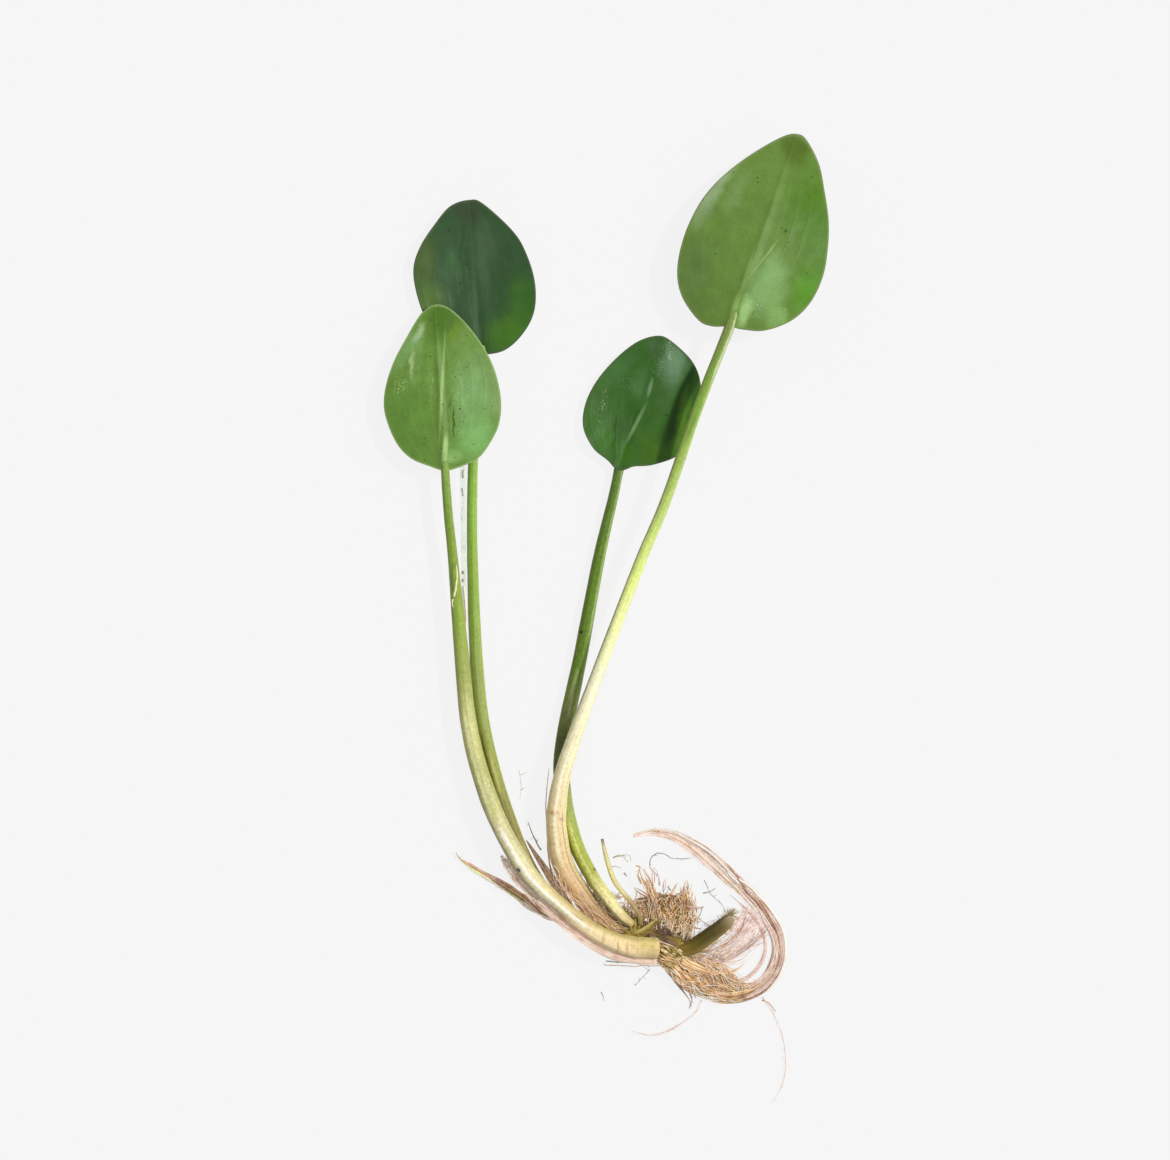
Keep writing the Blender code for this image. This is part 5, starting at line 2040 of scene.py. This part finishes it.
            Thread(((549, 768, 7.6), (546, 800, 5.6), (547, 830, 4.4), (549, 860, 3.8), (555, 884, 3.6)), (0.1, 0.3), Tint.ROSE, 0.1),
            Thread(((572, 866, 5.6), (585, 893, 5.4), (598, 906, 5.4)), (0.2, 0.3), Tint.BROWN),
            Thread(((519, 770, 0.6), (521, 785, 0.6), (520, 800, 0.6)), (0.08, 0.05), Tint.ROSE, 0.2),
            Thread(((528, 822, 1.0), (534, 838, 2.0), (541, 850, 3.0)), (0.1, 0.25), Tint.GREY),
        ),
        (),
    ),
)


def main() -> None:
    """Build the scene: the table and light, then every piece of the plant."""
    logging.basicConfig(level=logging.INFO, format="%(message)s")
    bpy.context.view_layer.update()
    studio()
    LENS.make()
    for finish in TINTS.values():
        finish.material()
    for leaf in LEAVES:
        leaf.make()
    for stem in STEMS:
        stem.make()
    for husk in HUSKS:
        husk.make()
    for root in ROOTS:
        root.make()
    Felt().make()
    FeltSheet(MAT).make()
    for film in FILMS:
        film.make()
    tangles()
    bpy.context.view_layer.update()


def studio() -> None:
    """Add the pale table, the soft surrounding light and the key light from the upper right."""
    scene = bpy.context.scene
    scene.view_settings.view_transform = "Standard"
    world = bpy.data.worlds.new("surroundings")
    world.use_nodes = True
    world.node_tree.nodes["Background"].inputs["Color"].default_value = (1.0, 1.0, 1.0, 1.0)
    world.node_tree.nodes["Background"].inputs["Strength"].default_value = 0.54
    scene.world = world
    data = bpy.data.lights.new("key_light", "SUN")
    data.energy = 2.2
    data.angle = math.radians(5.0)
    key = bpy.data.objects.new("key_light", data)
    key.rotation_euler = Vector((0.62, 0.22, 0.8)).to_track_quat("Z", "Y").to_euler()
    scene.collection.objects.link(key)
    shape = bmesh.new()
    bmesh.ops.create_grid(shape, x_segments=1, y_segments=1, size=4000.0)
    bmesh.ops.translate(shape, verts=shape.verts, vec=(0.0, 0.0, -0.15))
    board = Board("table", 0.9, 0.0)
    board.dress(Base_Color=(0.06, 0.06, 0.06, 1.0), Emission_Color=(1.0, 1.0, 1.0, 1.0), Emission_Strength=0.856)
    solid("table", shape, board.material)


@dataclass(frozen=True)
class Felt:
    """The dense middle of the tuft: a lumpy cushion of matted fibres."""

    centre: tuple[float, float, float] = (17.6, -88.6, 1.9)
    size: tuple[float, float, float] = (8.4, 5.2, 1.7)
    turn: float = -14.0

    def make(self) -> None:
        """Add the cushion."""
        shape = bmesh.new()
        bmesh.ops.create_icosphere(shape, subdivisions=5, radius=1.0)
        for vert in shape.verts:
            vert.co *= 1.0 + 0.22 * noise(vert.co * 3.0) + 0.1 * noise(vert.co * 9.0)
        bmesh.ops.scale(shape, verts=shape.verts, vec=self.size)
        spin = Matrix.Rotation(math.radians(self.turn), 3, "Z")
        bmesh.ops.rotate(shape, verts=shape.verts, matrix=spin)
        bmesh.ops.translate(shape, verts=shape.verts, vec=self.centre)
        keep(solid("tuft_felt", shape, FELT.material()), "root")


@dataclass(frozen=True)
class FeltSheet:
    """The mat of roots under the crown: a thin felt that its strands lie on."""

    sheet: Sheet

    def make(self) -> None:
        """Add the felt."""
        shape = self.sheet.plate("root_felt", 48, lambda along, across, edge: 0.4 * noise(Vector((along, across, 3.0)) * 0.5))
        thing = solid("root_felt", shape, FELT.material(), upward=True)
        wall = thing.modifiers.new("thickness", "SOLIDIFY")
        wall.thickness = 0.5 * MM
        wall.offset = 0.0
        keep(thing, "root")


@dataclass(frozen=True)
class Film:
    """A thin see-through skin between two edges, each given as points of the picture."""

    name: str
    slot: str
    outer: tuple[tuple[float, float], ...]
    inner: tuple[tuple[float, float], ...]
    heights: tuple[float, float]
    finish: FilmFinish
    thickness: float = 0.12

    def make(self) -> bpy.types.Object:
        """Return the finished skin. Its attribute film holds the length run and the place across."""
        outer = curve_through([(*point, 0.0) for point in self.outer], 3.0)
        inner = curve_through([(*point, 0.0) for point in self.inner], 3.0)
        steps = max(len(outer), len(inner), 12)
        shape = bmesh.new()
        bmesh.ops.create_grid(shape, x_segments=8, y_segments=steps, size=0.5)
        film = shape.verts.layers.float_vector.new("film")
        for vert in shape.verts:
            blend, share = vert.co.x + 0.5, vert.co.y + 0.5
            a = outer[round(share * (len(outer) - 1))]
            b = inner[round(share * (len(inner) - 1))]
            height = self.heights[0] + (self.heights[1] - self.heights[0]) * share
            spot = LENS.at(a[0] + (b[0] - a[0]) * blend, a[1] + (b[1] - a[1]) * blend, height)
            vert[film] = Vector((share * steps, blend, 0.0))
            vert.co = spot + Vector((0.0, 0.0, 0.25 * noise(spot * 0.4)))
        thing = solid(self.name, shape, self.finish.material(), upward=True)
        wall = thing.modifiers.new("thickness", "SOLIDIFY")
        wall.thickness = self.thickness * MM
        wall.offset = 0.0
        return keep(thing, self.slot)


FILMS = (
    Film("loop_skin", "root", LOOP_OUTER, LOOP_INNER, (0.7, 0.6), FilmFinish("loop_skin", (255, 234, 222), (240, 204, 186), 0.6)),
    Film(
        "web_skin", "root",
        ((728, 962), (742, 954), (758, 944), (772, 930)), ((730, 916), (742, 908), (756, 904), (766, 912)),
        (1.2, 0.9), FilmFinish("web_skin", (255, 226, 220), (232, 184, 172), 0.28),
    ),
    Film(
        "stalk_skirt", "petiole",
        ((536, 904), (560, 928), (590, 950), (620, 962), (657, 966)), ((540, 894), (566, 914), (594, 934), (622, 946), (657, 950)),
        (8.4, 7.8), FilmFinish("stalk_skirt", (255, 232, 214), (234, 190, 166), 0.6),
    ),
    Film(
        "left_strip", "petiole",
        ((459, 462), (460, 520), (461, 580), (463, 640)), ((466, 462), (466, 520), (467, 580), (468, 640)),
        (3.6, 4.4), FilmFinish("left_strip", (232, 238, 226), (190, 196, 186), 0.4),
    ),
)


def tangles() -> None:
    """Add the mats of fine fibres round the crown and in the loop of roots, and the loose threads."""
    rng = np.random.default_rng(31)
    for name, groups, nodes in TANGLES:
        strands = Strands(name)
        for group in groups:
            group.fill(strands, rng)
        keep(strands.piece(), "root", *nodes)


if __name__ == "__main__":
    main()
